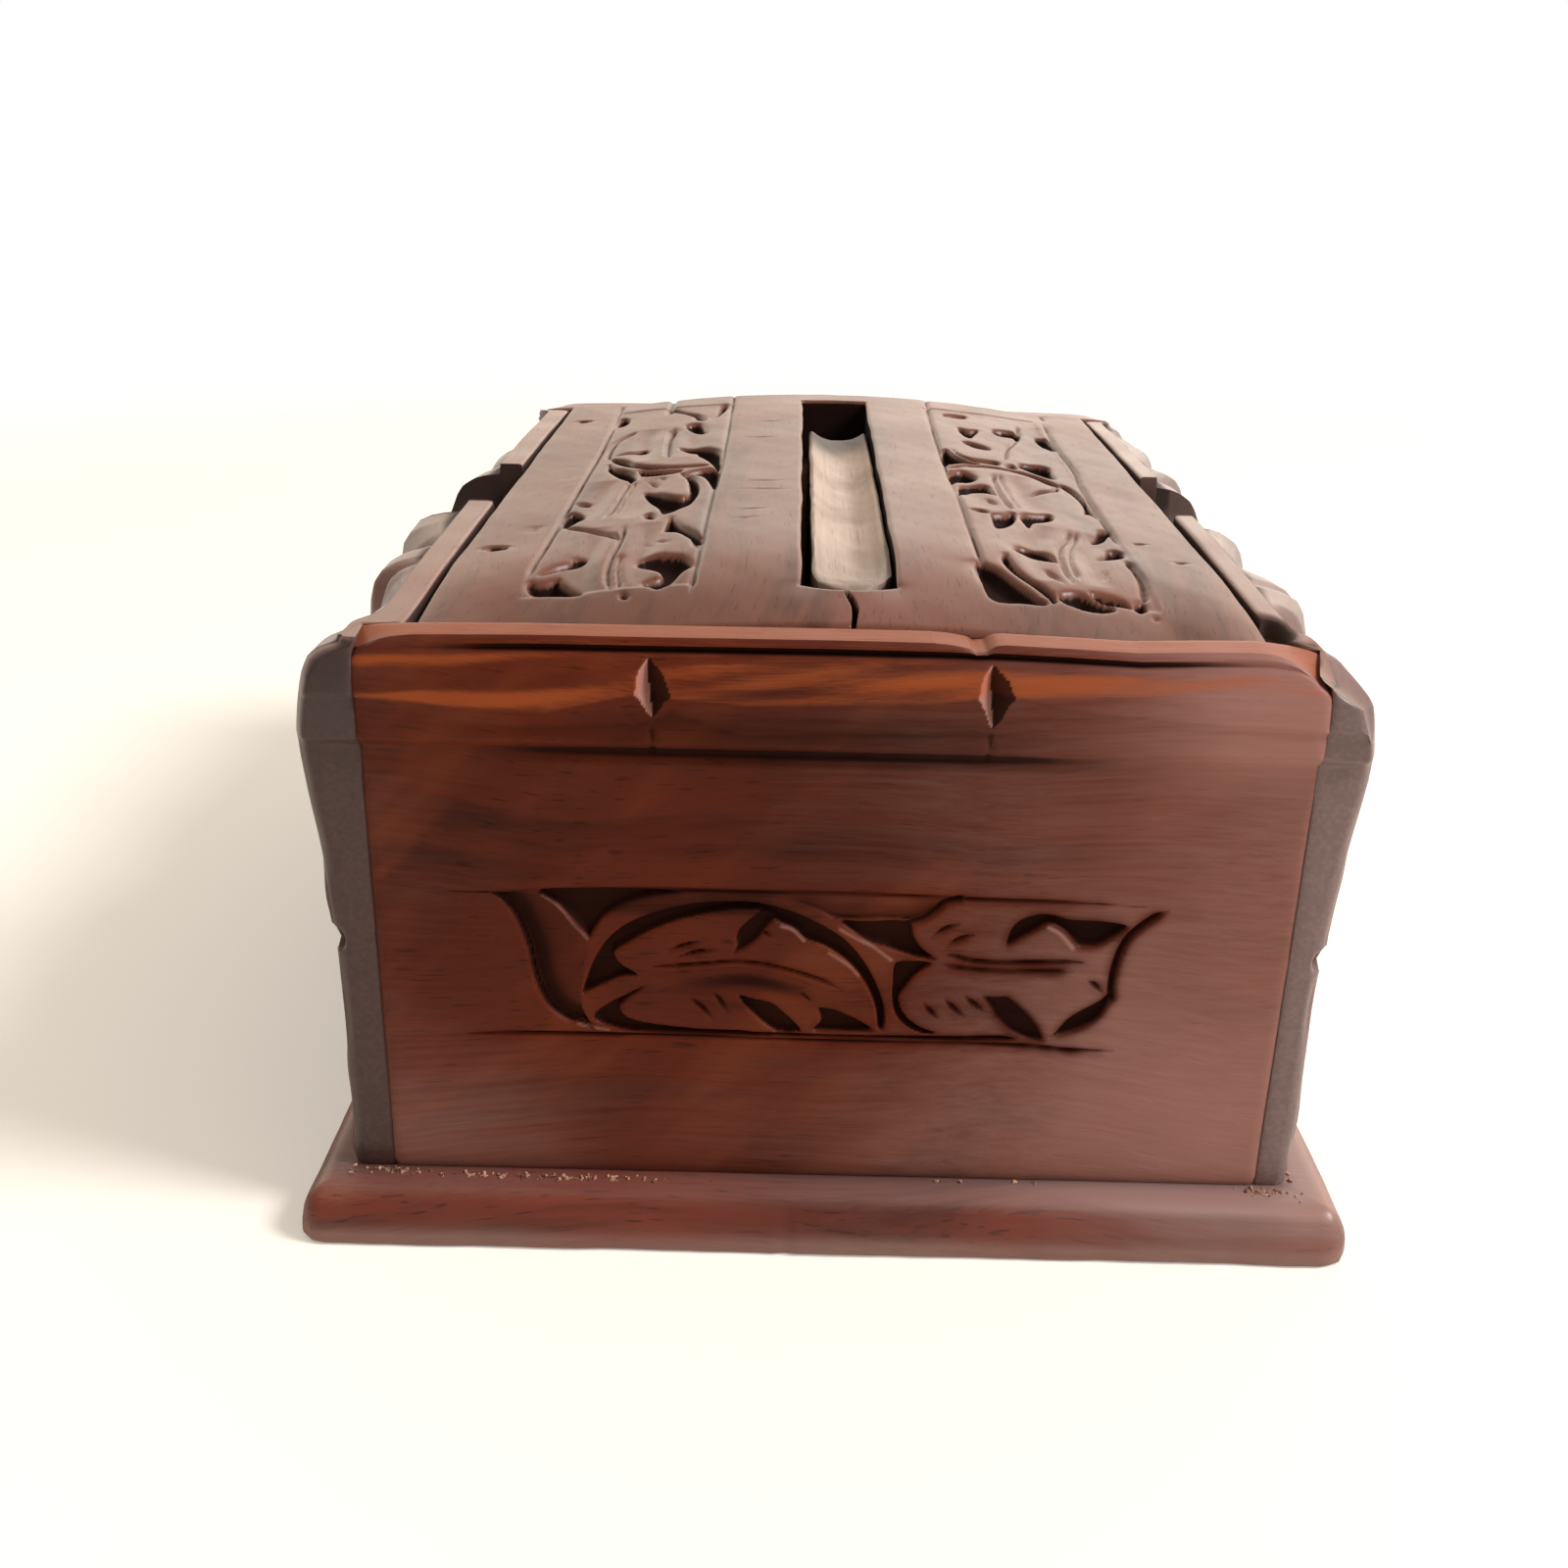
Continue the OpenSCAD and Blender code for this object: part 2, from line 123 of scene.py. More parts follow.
class Bench:
    """A node tree under the hand: puts nodes down and wires them up."""

    def __init__(self, tree):
        self.tree = tree

    def node(self, kind, settings=None, sockets=None, out=0):
        made = self.tree.nodes.new(kind)
        for key, value in (settings or {}).items():
            setattr(made, key, value)
        for key, value in (sockets or {}).items():
            if isinstance(value, Wire):
                self.tree.links.new(value.socket, made.inputs[key])
            elif value is not None:
                made.inputs[key].default_value = value
        return Wire(self, made.outputs[out]) if made.outputs else made

    def blend(self, share, one, other):
        """One colour, turning to the other as share goes from 0 to 1."""
        return self.node("ShaderNodeMix", {"data_type": "RGBA"}, {0: share, 6: one, 7: other}, out=2)

    def rise(self, value, low, high):
        """0 below low, 1 above high, and a soft step between."""
        return self.node("ShaderNodeMapRange", {"interpolation_type": "SMOOTHSTEP"},
                         {"Value": value, "From Min": low, "From Max": high})

    def noise(self, place, scale, detail, rough=None, out=0):
        return self.node("ShaderNodeTexNoise", {}, {"Vector": place, "Scale": scale, "Detail": detail,
                                                    "Roughness": rough}, out)

    def stretch(self, place, scale):
        return self.node("ShaderNodeMapping", {}, {"Vector": place, "Scale": scale})

    def place(self):
        return self.node("ShaderNodeTexCoord", out="Object")

    def part(self, vector, axis):
        """One of a vector's three numbers."""
        return self.node("ShaderNodeSeparateXYZ", {}, {0: vector}, out=axis)

    def mark(self, name):
        """A value that the mesh carries at each of its points."""
        return self.node("ShaderNodeAttribute", {"attribute_name": name}, out="Fac")

    def show(self, shader, kind="Material"):
        self.node("ShaderNodeOutput" + kind, {}, {"Surface": shader})


def finish_bench(name):
    """A new material with only its output, and the bench to build it on."""
    material = bpy.data.materials.new(name)
    material.use_nodes = True
    material.node_tree.nodes.clear()
    return material, Bench(material.node_tree)


white_near, white_far = 300.0, 560.0
table_colour, lift = tint(250, 243, 231), 0.27

table = put("table_top", bpy.data.meshes.new("table_top"))
reach = 6.0
table.data.from_pydata([(-reach, -reach, 0), (reach, -reach, 0), (reach, reach, 0), (-reach, reach, 0)],
                       [], [(0, 1, 2, 3)])
table_finish, bench = finish_bench("Table top")
place = bench.place()
distance = bench.node("ShaderNodeVectorMath", {"operation": "LENGTH"}, {0: place}, out="Value") / to_metres
seen = bench.node("ShaderNodeLightPath", out="Is Camera Ray")
mirrored = bench.node("ShaderNodeLightPath", out="Is Glossy Ray")
far = bench.rise(distance, white_near, white_far) * bench.rise(seen + mirrored, 0.4, 0.6)
speckle = bench.noise(place, 900.0, 2.0)
darkening = bench.rise(speckle, 0.74, 0.80) * 0.35
plain = bench.node("ShaderNodeBsdfDiffuse", {},
                   {"Color": bench.blend(darkening, table_colour, tint(196, 186, 172)), "Roughness": 0.4})
fill = bench.node("ShaderNodeEmission", {}, {"Color": (1, 1, 1, 1), "Strength": lift})
dark = bench.node("ShaderNodeEmission", {}, {"Color": (0, 0, 0, 1), "Strength": 0.0})
lifted = bench.node("ShaderNodeMixShader", {}, {0: seen, 1: dark, 2: fill})
near_by = bench.node("ShaderNodeAddShader", {}, {0: plain, 1: lifted})
glow = bench.node("ShaderNodeEmission", {}, {"Color": (1, 1, 1, 1), "Strength": 1.0})
both = bench.node("ShaderNodeMixShader", {}, {0: far, 1: near_by, 2: glow})
bench.show(both)
table.data.materials.append(table_finish)

room = bpy.data.worlds.new("Room")
bpy.context.scene.world = room
room.use_nodes = True
room.node_tree.nodes.clear()
bench = Bench(room.node_tree)
heading = bench.node("ShaderNodeTexCoord", out="Generated")
sideways = bench.part(heading, "X")
onward = bench.part(heading, "Y")
aloft = bench.part(heading, "Z")
brightness = 0.36 + 0.25 * bench.rise(onward, -0.5, 0.6) + 0.25 * bench.rise(sideways, -0.2, 0.9)
brightness = brightness + 1.25 * bench.rise(onward, 0.45, 0.85) * (1 - bench.rise(aloft, 0.10, 0.58))
seen = bench.node("ShaderNodeLightPath", out="Is Camera Ray")
air = bench.node("ShaderNodeBackground", {}, {"Color": tint(255, 241, 222), "Strength": brightness})
backdrop = bench.node("ShaderNodeBackground", {}, {"Color": (1, 1, 1, 1), "Strength": 1.0})
sky = bench.node("ShaderNodeMixShader", {}, {0: seen, 1: air, 2: backdrop})
bench.show(sky, "World")


def lamp(name, towards, far_off, strength, size, colour):
    """A round soft light that stands off from the box in one direction and shines at it."""
    light = bpy.data.lights.new(name, "AREA")
    light.energy = strength
    light.color = colour[:3]
    light.shape = "DISK"
    light.size = size
    stand = put(name, light)
    back = np.array(towards) / np.linalg.norm(towards)
    across = np.cross((0, 0, 1), back)
    across = across / np.linalg.norm(across)
    turned = np.eye(4)
    turned[:3, 0] = across
    turned[:3, 1] = np.cross(back, across)
    turned[:3, 2] = back
    turned[:3, 3] = back * far_off + np.array([0, 0, box_middle])
    stand.matrix_world = Matrix(turned.tolist())


box_middle = 0.04
lamp("Window", (0.70, -0.21, 0.68), far_off=0.9, strength=6.5, size=0.30, colour=tint(250, 252, 255))
lamp("Bright wall", (0.25, 0.88, 0.42), far_off=1.2, strength=1.2, size=0.9, colour=tint(255, 252, 248))


# ---------------------------------------------------------------------------
# Base plate: one walnut board with a full rounded edge, worn at the corners, painted sheen
# on its wax, old glue and dust where the walls stand on it, and darkened along their foot.
base_half_w, base_half_l = 53.9, 69.9
base_thick, base_bulge, base_corner = 6.0, 1.9, 0.8


def ripple(t, pitch, seed):
    """A slow hand-made waviness along a line, between about -1 and 1."""
    luck = np.random.default_rng(seed)
    total = 0
    for share in (1.0, 0.57, 0.34):
        total = total + share * np.sin(2 * np.pi * t / (pitch * share) + luck.uniform(0, 6.28))
    return total / 1.91


def dapple(u, v, pitch, seed):
    """The same over a surface: the low waves that a scraper leaves."""
    luck = np.random.default_rng(seed)
    total = 0
    for share in (1.0, 0.8, 0.55, 0.4, 0.3):
        aim = luck.uniform(0, 6.28)
        run = (u * np.cos(aim) + v * np.sin(aim)) * 2 * np.pi / (pitch * share)
        total = total + share * np.sin(run + luck.uniform(0, 6.28))
    return total / 3.05


def ease(low, high, value):
    t = np.clip((value - low) / (high - low), 0, 1)
    return t * t * (3 - 2 * t)


def loft(loops):
    """Skins a row of closed loops of points, and closes both ends."""
    rows, count = loops.shape[:2]
    index = np.arange(rows * count).reshape(rows, count)
    after = np.roll(index, -1, axis=1)
    quads = np.stack([index[:-1], after[:-1], after[1:], index[1:]], axis=-1).reshape(-1, 4)
    faces = quads.tolist() + [index[0][::-1].tolist(), index[-1].tolist()]
    return loops.reshape(-1, 3), faces


def shown(name, mesh, finish, crease):
    """An object that shows a mesh smooth, but for the edges sharper than the crease."""
    mesh.polygons.foreach_set("use_smooth", [True] * len(mesh.polygons))
    mesh.set_sharp_from_angle(angle=math.radians(crease))
    made = put(name, mesh)
    made.data.materials.append(finish)
    return made


def make(name, points, faces, finish, marks, crease=62, weld=False):
    """A mesh object from points in millimetres, with its faces outwards."""
    mesh = bpy.data.meshes.new(name)
    mesh.from_pydata((points * to_metres).tolist(), [], faces)
    for key, values in marks.items():
        layer = mesh.attributes.new(key, "FLOAT", "POINT")
        layer.data.foreach_set("value", np.asarray(values, dtype=np.float32).ravel())
    work = bmesh.new()
    work.from_mesh(mesh)
    if weld:
        bmesh.ops.remove_doubles(work, verts=work.verts, dist=1e-6)
    if work.calc_volume(signed=True) < 0:
        bmesh.ops.reverse_faces(work, faces=work.faces)
    work.to_mesh(mesh)
    work.free()
    return shown(name, mesh, finish, crease)


def fit(made, body, slot, *nodes):
    """Fixes a piece to its body, in place of its plain solids."""
    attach(made, body)
    if nodes:
        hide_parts(*nodes)


def walnut(name, heart, sap, streak, turned=(0, 0, 0), soil_and_shade=0.85, wear_and_lit=0.35, gloss=0.34, sheen=0.2,
           shine=0.3, curl=0.0, seed=0.0, pores=0.5, sheen_and_marks_pale=tint(152, 110, 106), bared_and_lit=tint(176, 120, 96)):
    """Old waxed walnut. Its grain runs along X, until it is turned."""
    material, b = finish_bench(name)
    place = b.place()
    block = b.node("ShaderNodeMapping", {}, {"Vector": place, "Location": (seed, seed * 0.7, seed * 0.4),
                                             "Rotation": turned, "Scale": (1000, 1000, 1000)})
    swirl = b.noise(block, 0.016, 1.0, out="Color")
    bent = b.node("ShaderNodeVectorMath", {"operation": "MULTIPLY_ADD"},
                  {0: swirl, 1: (0, 16, 16), 2: block})

    def along(run, rise, detail, rough=0.6):
        return b.noise(b.stretch(bent, (run, rise, rise)), 1.0, detail, rough)

    rings = along(0.012, 0.16, 4.0)
    threads = along(0.05, 1.5, 3.0, 0.7)
    fine = along(0.16, 4.5, 2.0)
    broad = b.noise(block, 0.030, 2.0)
    colour = b.blend(b.rise(broad, 0.36, 0.66), heart, sap)
    colour = b.blend(b.rise(rings, 0.50, 0.70) * 0.75, colour, streak)
    colour = b.blend(b.rise(threads, 0.52, 0.78) * 0.50, colour, streak)
    vessels = b.stretch(bent, (0.22, 2.6, 2.6))
    cells = b.noise(vessels, 1.0, 1.0)
    pore = b.rise(cells, 0.64, 0.72) * pores
    colour = b.blend(pore, colour, tint(30, 14, 10))
    if curl:
        leaning = b.node("ShaderNodeMapping", {}, {"Vector": block, "Rotation": (0, 0.7, 0)})
        flame = b.stretch(leaning, (0.035, 0.05, 0.13))
        figure = b.noise(flame, 1.0, 3.0)
        colour = b.blend(b.rise(figure, 0.46, 0.70) * curl, colour, tint(126, 60, 34))
    hollow = b.mark("hollow")
    edge = b.mark("edge")
    sheen_and_pale_marks = b.mark("sheen_and_pale_marks")
    # paler by the mesh's pale mark: painted sheen and painted highlight, and pale worn marks and dust
    colour = b.blend(b.rise(sheen_and_pale_marks + (broad - 0.5) * 0.5 + (threads - 0.5) * 0.3, 0.0, 1.0), colour, sheen_and_marks_pale)
    # the bared colour by the mesh's edge mark: worn edges, and painted light on facets that face up
    rubbed_and_lit = b.rise(edge + (fine - 0.5) * 0.5, 0.20, 0.95) * wear_and_lit
    colour = b.blend(rubbed_and_lit, colour, bared_and_lit)
    # near black by the mesh's hollow mark: dirt in the cuts, and painted shade in recesses and on faces
    # turned from the light
    packed_and_shaded = b.rise(hollow + (broad - 0.5) * 0.3, 0.08, 0.85) * soil_and_shade
    colour = b.blend(packed_and_shaded, colour, tint(26, 12, 9))
    smudge = b.noise(block, 0.09, 3.0)
    roughness = gloss + 0.22 * (smudge - 0.5) + 0.45 * packed_and_shaded + 0.12 * pore - 0.06 * rubbed_and_lit
    height = fine * 0.35 + threads * 0.45 - pore * 0.9 + smudge * 0.5
    relief = b.node("ShaderNodeBump", {}, {"Height": height, "Strength": 0.35, "Distance": 0.00012})
    wood = b.node("ShaderNodeBsdfPrincipled", {},
                  {"Base Color": colour, "Roughness": roughness, "Normal": relief,
                   "Coat Weight": sheen * (1 - packed_and_shaded), "Coat Roughness": 0.30, "IOR": 1.45,
                   "Specular IOR Level": shine})
    b.show(wood)
    return material


turned_y = (0, 0, math.pi / 2)
plate_finish = walnut("Base walnut", tint(124, 58, 44), tint(100, 46, 35), tint(60, 27, 20),
                      gloss=0.36, wear_and_lit=0.55, seed=3.1, sheen_and_marks_pale=tint(160, 126, 120))

# the board's outline in plan, as one trip round it
corner = np.linspace(0, np.pi / 2, 12)
outline = []
for mid_x, mid_y, start in ((1, -1, -np.pi / 2), (1, 1, 0), (-1, 1, np.pi / 2), (-1, -1, np.pi)):
    run_x = mid_x * (base_half_w - base_corner) + base_corner * np.cos(start + corner)
    run_y = mid_y * (base_half_l - base_corner) + base_corner * np.sin(start + corner)
    outline.append(np.stack([run_x, run_y], -1))
outline = np.concatenate(outline + [outline[0][:1]])
length = np.concatenate([[0], np.cumsum(np.linalg.norm(np.diff(outline, axis=0), axis=1))])
trip = np.linspace(0, length[-1], 900)[:-1]
track = np.stack([np.interp(trip, length, outline[:, k]) for k in (0, 1)], -1)
ahead_of = np.roll(track, -1, axis=0) - np.roll(track, 1, axis=0)
outwards = np.stack([ahead_of[:, 1], -ahead_of[:, 0]], -1)
outwards = outwards / np.linalg.norm(outwards, axis=1)[:, None]

# the moulded edge, from the underside's rim out, up and over to the board's top
edge_out, edge_up = np.array([
    (-9, 0.12), (-4, 0.06), (1.2, 0), (1.62, 0.12), (1.85, 0.4), (1.9, 0.8), (1.88, 1.5), (1.8, 2.3),
    (1.66, 3), (1.44, 3.7), (1.14, 4.3), (0.76, 4.85), (0.3, 5.3), (-0.2, 5.65), (-0.7, 5.88),
    (-1.5, 6), (-3, 6), (-6, 6), (-9, 6)]).T
board_middle = np.array([54.0, 70.0])
rings = []
for out, up in zip(edge_out, edge_up):
    wave = 0.13 * ripple(trip, 47, 5) + 0.07 * ripple(trip, 13, 6)
    share = np.clip(out / base_bulge, 0, 1)
    flush = max(out, -0.5)
    spot = (track + outwards * (flush + wave * share)[:, None]) * (1 + (out - flush) / board_middle)
    dent = 0.35 * np.clip(ripple(trip, 23, 8) - 0.82, 0, 1) / 0.18 * share
    spot = spot - outwards * dent[:, None]
    lift = np.full(len(trip), up) + (0.05 * ripple(trip, 31, 9) if 0 < up < base_thick else 0)
    rings.append(np.concatenate([spot, lift[:, None]], axis=1))
rings = np.array(rings)
points, faces = loft(rings)
# darker along the foot of the walls, under them and just outside them
near_wall = np.minimum(50 - np.abs(points[:, 0]), 66 - np.abs(points[:, 1]))
wall_foot_dark = ease(-1.6, 0.2, near_wall) * (points[:, 2] > 5.9) * 0.75
rim = np.repeat(ease(4.0, 5.5, edge_up) * (edge_out > -1), len(trip))
corners = ease(8, 2, np.hypot(base_half_w - np.abs(points[:, 0]), base_half_l - np.abs(points[:, 1])))
# painted sheen on the wax: paler along its foot, more towards the right and on its top; dust in the right
# front corner
off_right, off_back, up = points.T
from_corner = np.hypot(off_right - 50.5, off_back + 66.5)
sheen_and_dust = 0.6 * ease(3.4, 1.2, up) + (0.06 + 0.55 * ease(5, 56, off_right)) * ease(1.5, 4, up)
sheen_and_dust = sheen_and_dust + (0.3 + 0.4 * ease(0, 50, off_right)) * ease(5, 6, up)
sheen_and_dust = sheen_and_dust + 0.5 * np.exp(-(from_corner / 3.5) ** 2)
base_board = make("base_board", points, faces, plate_finish,
                  {"hollow": wall_foot_dark, "edge": 0.3 * rim + 0.25 * corners, "sheen_and_pale_marks": sheen_and_dust})
fit(base_board, "case", "base_walnut", "base_plate")


# ---------------------------------------------------------------------------
# Front wall: a walnut board let in between the side walls and nailed up through
# the base. Its leaf panel is chopped in with gouges and its top edge is moulded.
board_low, board_top = 6.05, 66.2
front_y, front_in_y, joint_x = 66.0, 61.0, 46.28
panel_foot, panel_head, mould_foot = 21.6, 41.2, 52.6


def curve(spots, closed=True, steps=5):
    """A smooth line through a few spots."""
    spots = np.array(spots, dtype=float)
    if closed:
        before, here = np.roll(spots, 1, axis=0), spots
        there, beyond = np.roll(spots, -1, axis=0), np.roll(spots, -2, axis=0)
    else:
        full = np.concatenate([spots[:1], spots, spots[-1:]])
        before, here, there, beyond = full[:-3], full[1:-2], full[2:-1], full[3:]
    t = (np.arange(steps) / steps)[None, :, None]
    before, here, there, beyond = (part[:, None, :] for part in (before, here, there, beyond))
    drawn = 0.5 * (2 * here + (there - before) * t + (2 * before - 5 * here + 4 * there - beyond) * t ** 2
                   + (3 * here - before - 3 * there + beyond) * t ** 3)
    drawn = drawn.reshape(-1, 2)
    return np.concatenate([drawn, spots[:1] if closed else spots[-1:]])


def measure(u, v, line):
    """How far each spot is from a line, and how far along the line it lies."""
    gap = np.full(u.shape, 1e6)
    along = np.zeros(u.shape)
    side = np.zeros(u.shape)
    done = 0.0
    for (au, av), (bu, bv) in zip(line[:-1], line[1:]):
        du, dv = bu - au, bv - av
        span = math.hypot(du, dv)
        if span < 1e-9:
            continue
        t = np.clip(((u - au) * du + (v - av) * dv) / span ** 2, 0, 1)
        off_u, off_v = u - au - t * du, v - av - t * dv
        here = np.hypot(off_u, off_v)
        closer = here < gap
        gap = np.where(closer, here, gap)
        along = np.where(closer, done + t * span, along)
        side = np.where(closer, np.sign(du * off_v - dv * off_u), side)
        done += span
    return gap, along / done, side


def inside(u, v, line):
    """Which spots lie inside a closed line."""
    within = np.zeros(u.shape, dtype=bool)
    for (au, av), (bu, bv) in zip(line[:-1], line[1:]):
        if av != bv:
            crosses = (av > v) != (bv > v)
            within ^= crosses & (u < (bu - au) * (v - av) / (bv - av) + au)
    return within


def near(u, v, line, margin):
    low, high = line.min(axis=0) - margin, line.max(axis=0) + margin
    return (u > low[0]) & (u < high[0]) & (v > low[1]) & (v < high[1])


def pocket(depth, u, v, spots, deep, wall):
    """Chops the ground away inside an outline, with steep sides."""
    line = curve(spots)
    part = near(u, v, line, 0.2)
    pu, pv = u[part], v[part]
    gap = measure(pu, pv, line)[0] * inside(pu, pv, line)
    depth[part] = np.maximum(depth[part], deep * ease(0.0, wall, gap))


def groove(depth, u, v, spots, wide, deep, thin=(0.0, 0.0), reach=0.12):
    """Draws a V tool along a line. thin is how much width is left at each end."""
    line = curve(spots, closed=False)
    part = near(u, v, line, wide)
    gap, along, _ = measure(u[part], v[part], line)
    full = np.minimum(thin[0] + (1 - thin[0]) * along / reach, thin[1] + (1 - thin[1]) * (1 - along) / reach)
    full = np.clip(full, 0, 1)
    shape = np.clip(1 - gap / (wide / 2 * np.maximum(full, 0.05)), 0, 1)
    depth[part] = np.maximum(depth[part], deep * full * shape ** 0.8)


def scoop(depth, u, v, spots, line_spots, deep, fade, wall=0.4, rise=0.0):
    """Slopes the wood down inside an outline, towards a stop cut along a line."""
    line, stop = curve(spots), curve(line_spots, closed=False)
    part = near(u, v, line, 0.2)
    pu, pv = u[part], v[part]
    gap = measure(pu, pv, line)[0] * inside(pu, pv, line)
    away = measure(pu, pv, stop)[0]
    cut = (deep * np.exp(-away / fade) + rise) * ease(0.0, wall, gap)
    depth[part] = np.maximum(depth[part], cut)


def dish(depth, u, v, line_spots, offset, width, deep):
    """Pares a long shallow dish beside a line, on its right for a positive offset."""
    line = curve(line_spots, closed=False)
    part = near(u, v, line, abs(offset) + 2.5 * width)
    gap, along, side = measure(u[part], v[part], line)
    away = -gap * side
    pare = deep * np.exp(-((away - offset) / width) ** 2) * np.sin(np.pi * np.clip(along, 0, 1)) ** 0.7
    depth[part] += pare


def tools_for(depth, u, v, wall):
    """The two cuts that make up most of the carving, for one surface."""
    def cut(spots, deep, wall=wall):
        pocket(depth, u, v, spots, deep, wall)

    def line(spots, wide, deep, **ends):
        groove(depth, u, v, spots, wide, deep, **ends)

    return cut, line


def leaf_panel(u, v):
    """How deep the two leaves, their vine and their ground are cut, for one front."""
    depth = np.zeros(u.shape)
    cut, line = tools_for(depth, u, v, 0.6)
    left_curl = [(-34.4, 39.1), (-33.1, 38.3), (-32.1, 37), (-31.3, 35), (-30.7, 33), (-30.4, 31),
        (-30, 29), (-29.3, 27.1), (-28.3, 25.8), (-27, 24.9), (-25.6, 24.4), (-24.4, 23.7)]
    first_rib = [(-18.2, 31.2), (-16, 31.3), (-13, 31.6), (-10, 31.9), (-7, 31.7), (-4, 31), (-1.5, 30.2),
        (0.2, 29.5), (1.4, 28.7)]
    second_rib = [(11, 33.4), (12.6, 33.1), (14, 32.7), (17, 32.5), (20, 32.6), (25.4, 32.8)]
    # the faces of the leaves, pared hollow below their ribs
    dish(depth, u, v, first_rib, 2.3, 1.4, 0.6)
    dish(depth, u, v, first_rib, -3.2, 1.4, 0.16)
    line([(-15, 29.5), (-11, 30), (-7, 29.6), (-3, 28.6)], 2.4, 0.5, reach=0.4)
    dish(depth, u, v, second_rib, -2.4, 1.2, 0.14)
    # the curled petal at the left
    scoop(depth, u, v, left_curl + [(-25.4, 26), (-25.5, 29.5), (-24.8, 32.5), (-24.9, 34.4), (-26.1, 35.9),
        (-27.7, 37.8), (-29.3, 39.5)], left_curl, 1.0, 1.5, rise=0.22)
    line(left_curl, 0.9, 1.0, thin=(0.4, 0.3))
    # dark ground above the vine, below it, and round the first leaf
    cut([(-29.3, 39.8), (-27.6, 37.6), (-26, 35.6), (-24.7, 34.2), (-24, 35.1), (-22.9, 36.7), (-21, 38),
        (-18.5, 38.9), (-15, 39.5), (-14, 40)], 1.15)
    cut([(-25.6, 27.7), (-25, 30.2), (-24.1, 32.4), (-22.7, 34.5), (-20.7, 36.2), (-17.7, 37.6),
        (-13.8, 38.6), (-9.5, 38.9), (-6.6, 38.6), (-3.6, 37.7), (-1, 36.4), (1.3, 34.8), (3.3, 32.4),
        (4.8, 29.6), (5.7, 26.9), (5.7, 24.5), (4.9, 24.6), (4.6, 26.6), (3.9, 28.7), (2.8, 30.6),
        (1.2, 32.4), (-0.9, 33.8), (-2.8, 34.5), (-4, 35.7), (-5.4, 36.4), (-7.3, 37.6), (-9.7, 37.7),
        (-12.8, 37.1), (-16, 36.1), (-18.8, 34.8), (-20.8, 33.5), (-22, 32.6), (-21.4, 31.4), (-19.7, 30.2),
        (-21.5, 29.7), (-23.4, 28.7)], 1.3, wall=0.5)
    cut([(-7.2, 37.9), (-5.6, 37.2), (-6.4, 36), (-7.3, 34.6), (-8.6, 33.4), (-10.4, 32.5), (-9.9, 33.6),
        (-10, 34.8), (-9.5, 35.9), (-8.4, 37)], 1.0)
    cut([(-24.5, 25.5), (-22.7, 27), (-20.8, 28.1), (-18.8, 29.3), (-19.5, 28.2), (-20.8, 27.2),
        (-21.5, 26.3), (-21.1, 25.4), (-19.5, 24.8), (-17, 24.4), (-13.5, 24.1), (-9, 24), (-6.8, 23.6),
        (-6.8, 23.1), (-14, 23.1), (-20, 23.2), (-22.6, 23.7), (-24.3, 24.4)], 1.1)
    cut([(-9.7, 28.2), (-8, 27.8), (-6, 27.3), (-4.7, 26.2), (-3.5, 25), (-2.8, 23.9), (-4, 23.5),
        (-5.6, 23.7), (-7.1, 24.7), (-8.4, 26), (-9.2, 27)], 1.15)
    cut([(-1.9, 23.9), (-1.1, 25.3), (-1.4, 26.8), (0.2, 26.8), (1.9, 26.1), (3.4, 25.3), (4.7, 24.1),
        (1.5, 23.8)], 1.1)
    cut([(-8, 23.1), (0, 22.9), (8, 22.9), (14, 23), (19.5, 23.3), (18.3, 24.1), (14, 24), (8, 23.9),
        (0, 23.8), (-8, 23.9)], 0.75)
    # the facet that runs down under the panel's upper line, and the ground at its foot
    scoop(depth, u, v, [(-10, 39.7), (-5, 38.9), (-2, 38), (0.2, 36.9), (3, 36.9), (6.2, 37), (7.6, 36.8),
        (9, 37.3), (10.3, 38.3), (11.3, 39.3), (11.6, 39.9), (0, 40)], [(-3, 37.6), (0.2, 36.6),
        (7.6, 36.6), (10, 37.6)], 0.85, 1.6)
    cut([(0.5, 36.9), (3, 37), (6.2, 37.2), (7.9, 36.9), (8.4, 35.2), (9.3, 33.9), (10.8, 32.7), (9, 32.7),
        (7.3, 33.1), (5.1, 33.8), (3.6, 34.2), (2.2, 35.3)], 1.25)
    cut([(6.4, 32.2), (8, 32.5), (10.2, 32.3), (8.7, 30.8), (7.7, 29.4), (7.1, 28.2), (7.4, 26.8),
        (8.3, 25.6), (9.7, 24.7), (11.7, 24), (9.2, 24.1), (7.6, 25), (6.6, 26.4), (6.2, 28.2), (6.2, 30)],
        1.1, wall=0.34)
    # ground round the second leaf
    cut([(17.4, 34), (17.7, 36), (18.6, 37.4), (20.4, 38.2), (22, 38.2), (24, 37.7), (27, 37.6), (29.8, 37),
        (28.3, 35.5), (26.8, 34.5), (25, 34.4), (24.2, 35.1), (23.1, 36.3), (21.7, 36.9), (20.4, 36),
        (19.1, 35.1)], 1.1)
    cut([(28.9, 29.8), (27.4, 28.4), (25.6, 27.2), (24.3, 26.1), (23.3, 24.6), (22.5, 23.8), (24.2, 24.1),
        (26.1, 24.9), (27.5, 25.9), (28.5, 27.5)], 1.15)
    cut([(15.3, 28.8), (16.2, 27.1), (17.1, 25.6), (18.4, 24.3), (20.2, 23.4), (22.5, 23.2), (22, 24.8),
        (20.9, 26.3), (19.7, 27.6), (18.2, 28.8), (16.8, 28.7)], 0.95, wall=0.9)
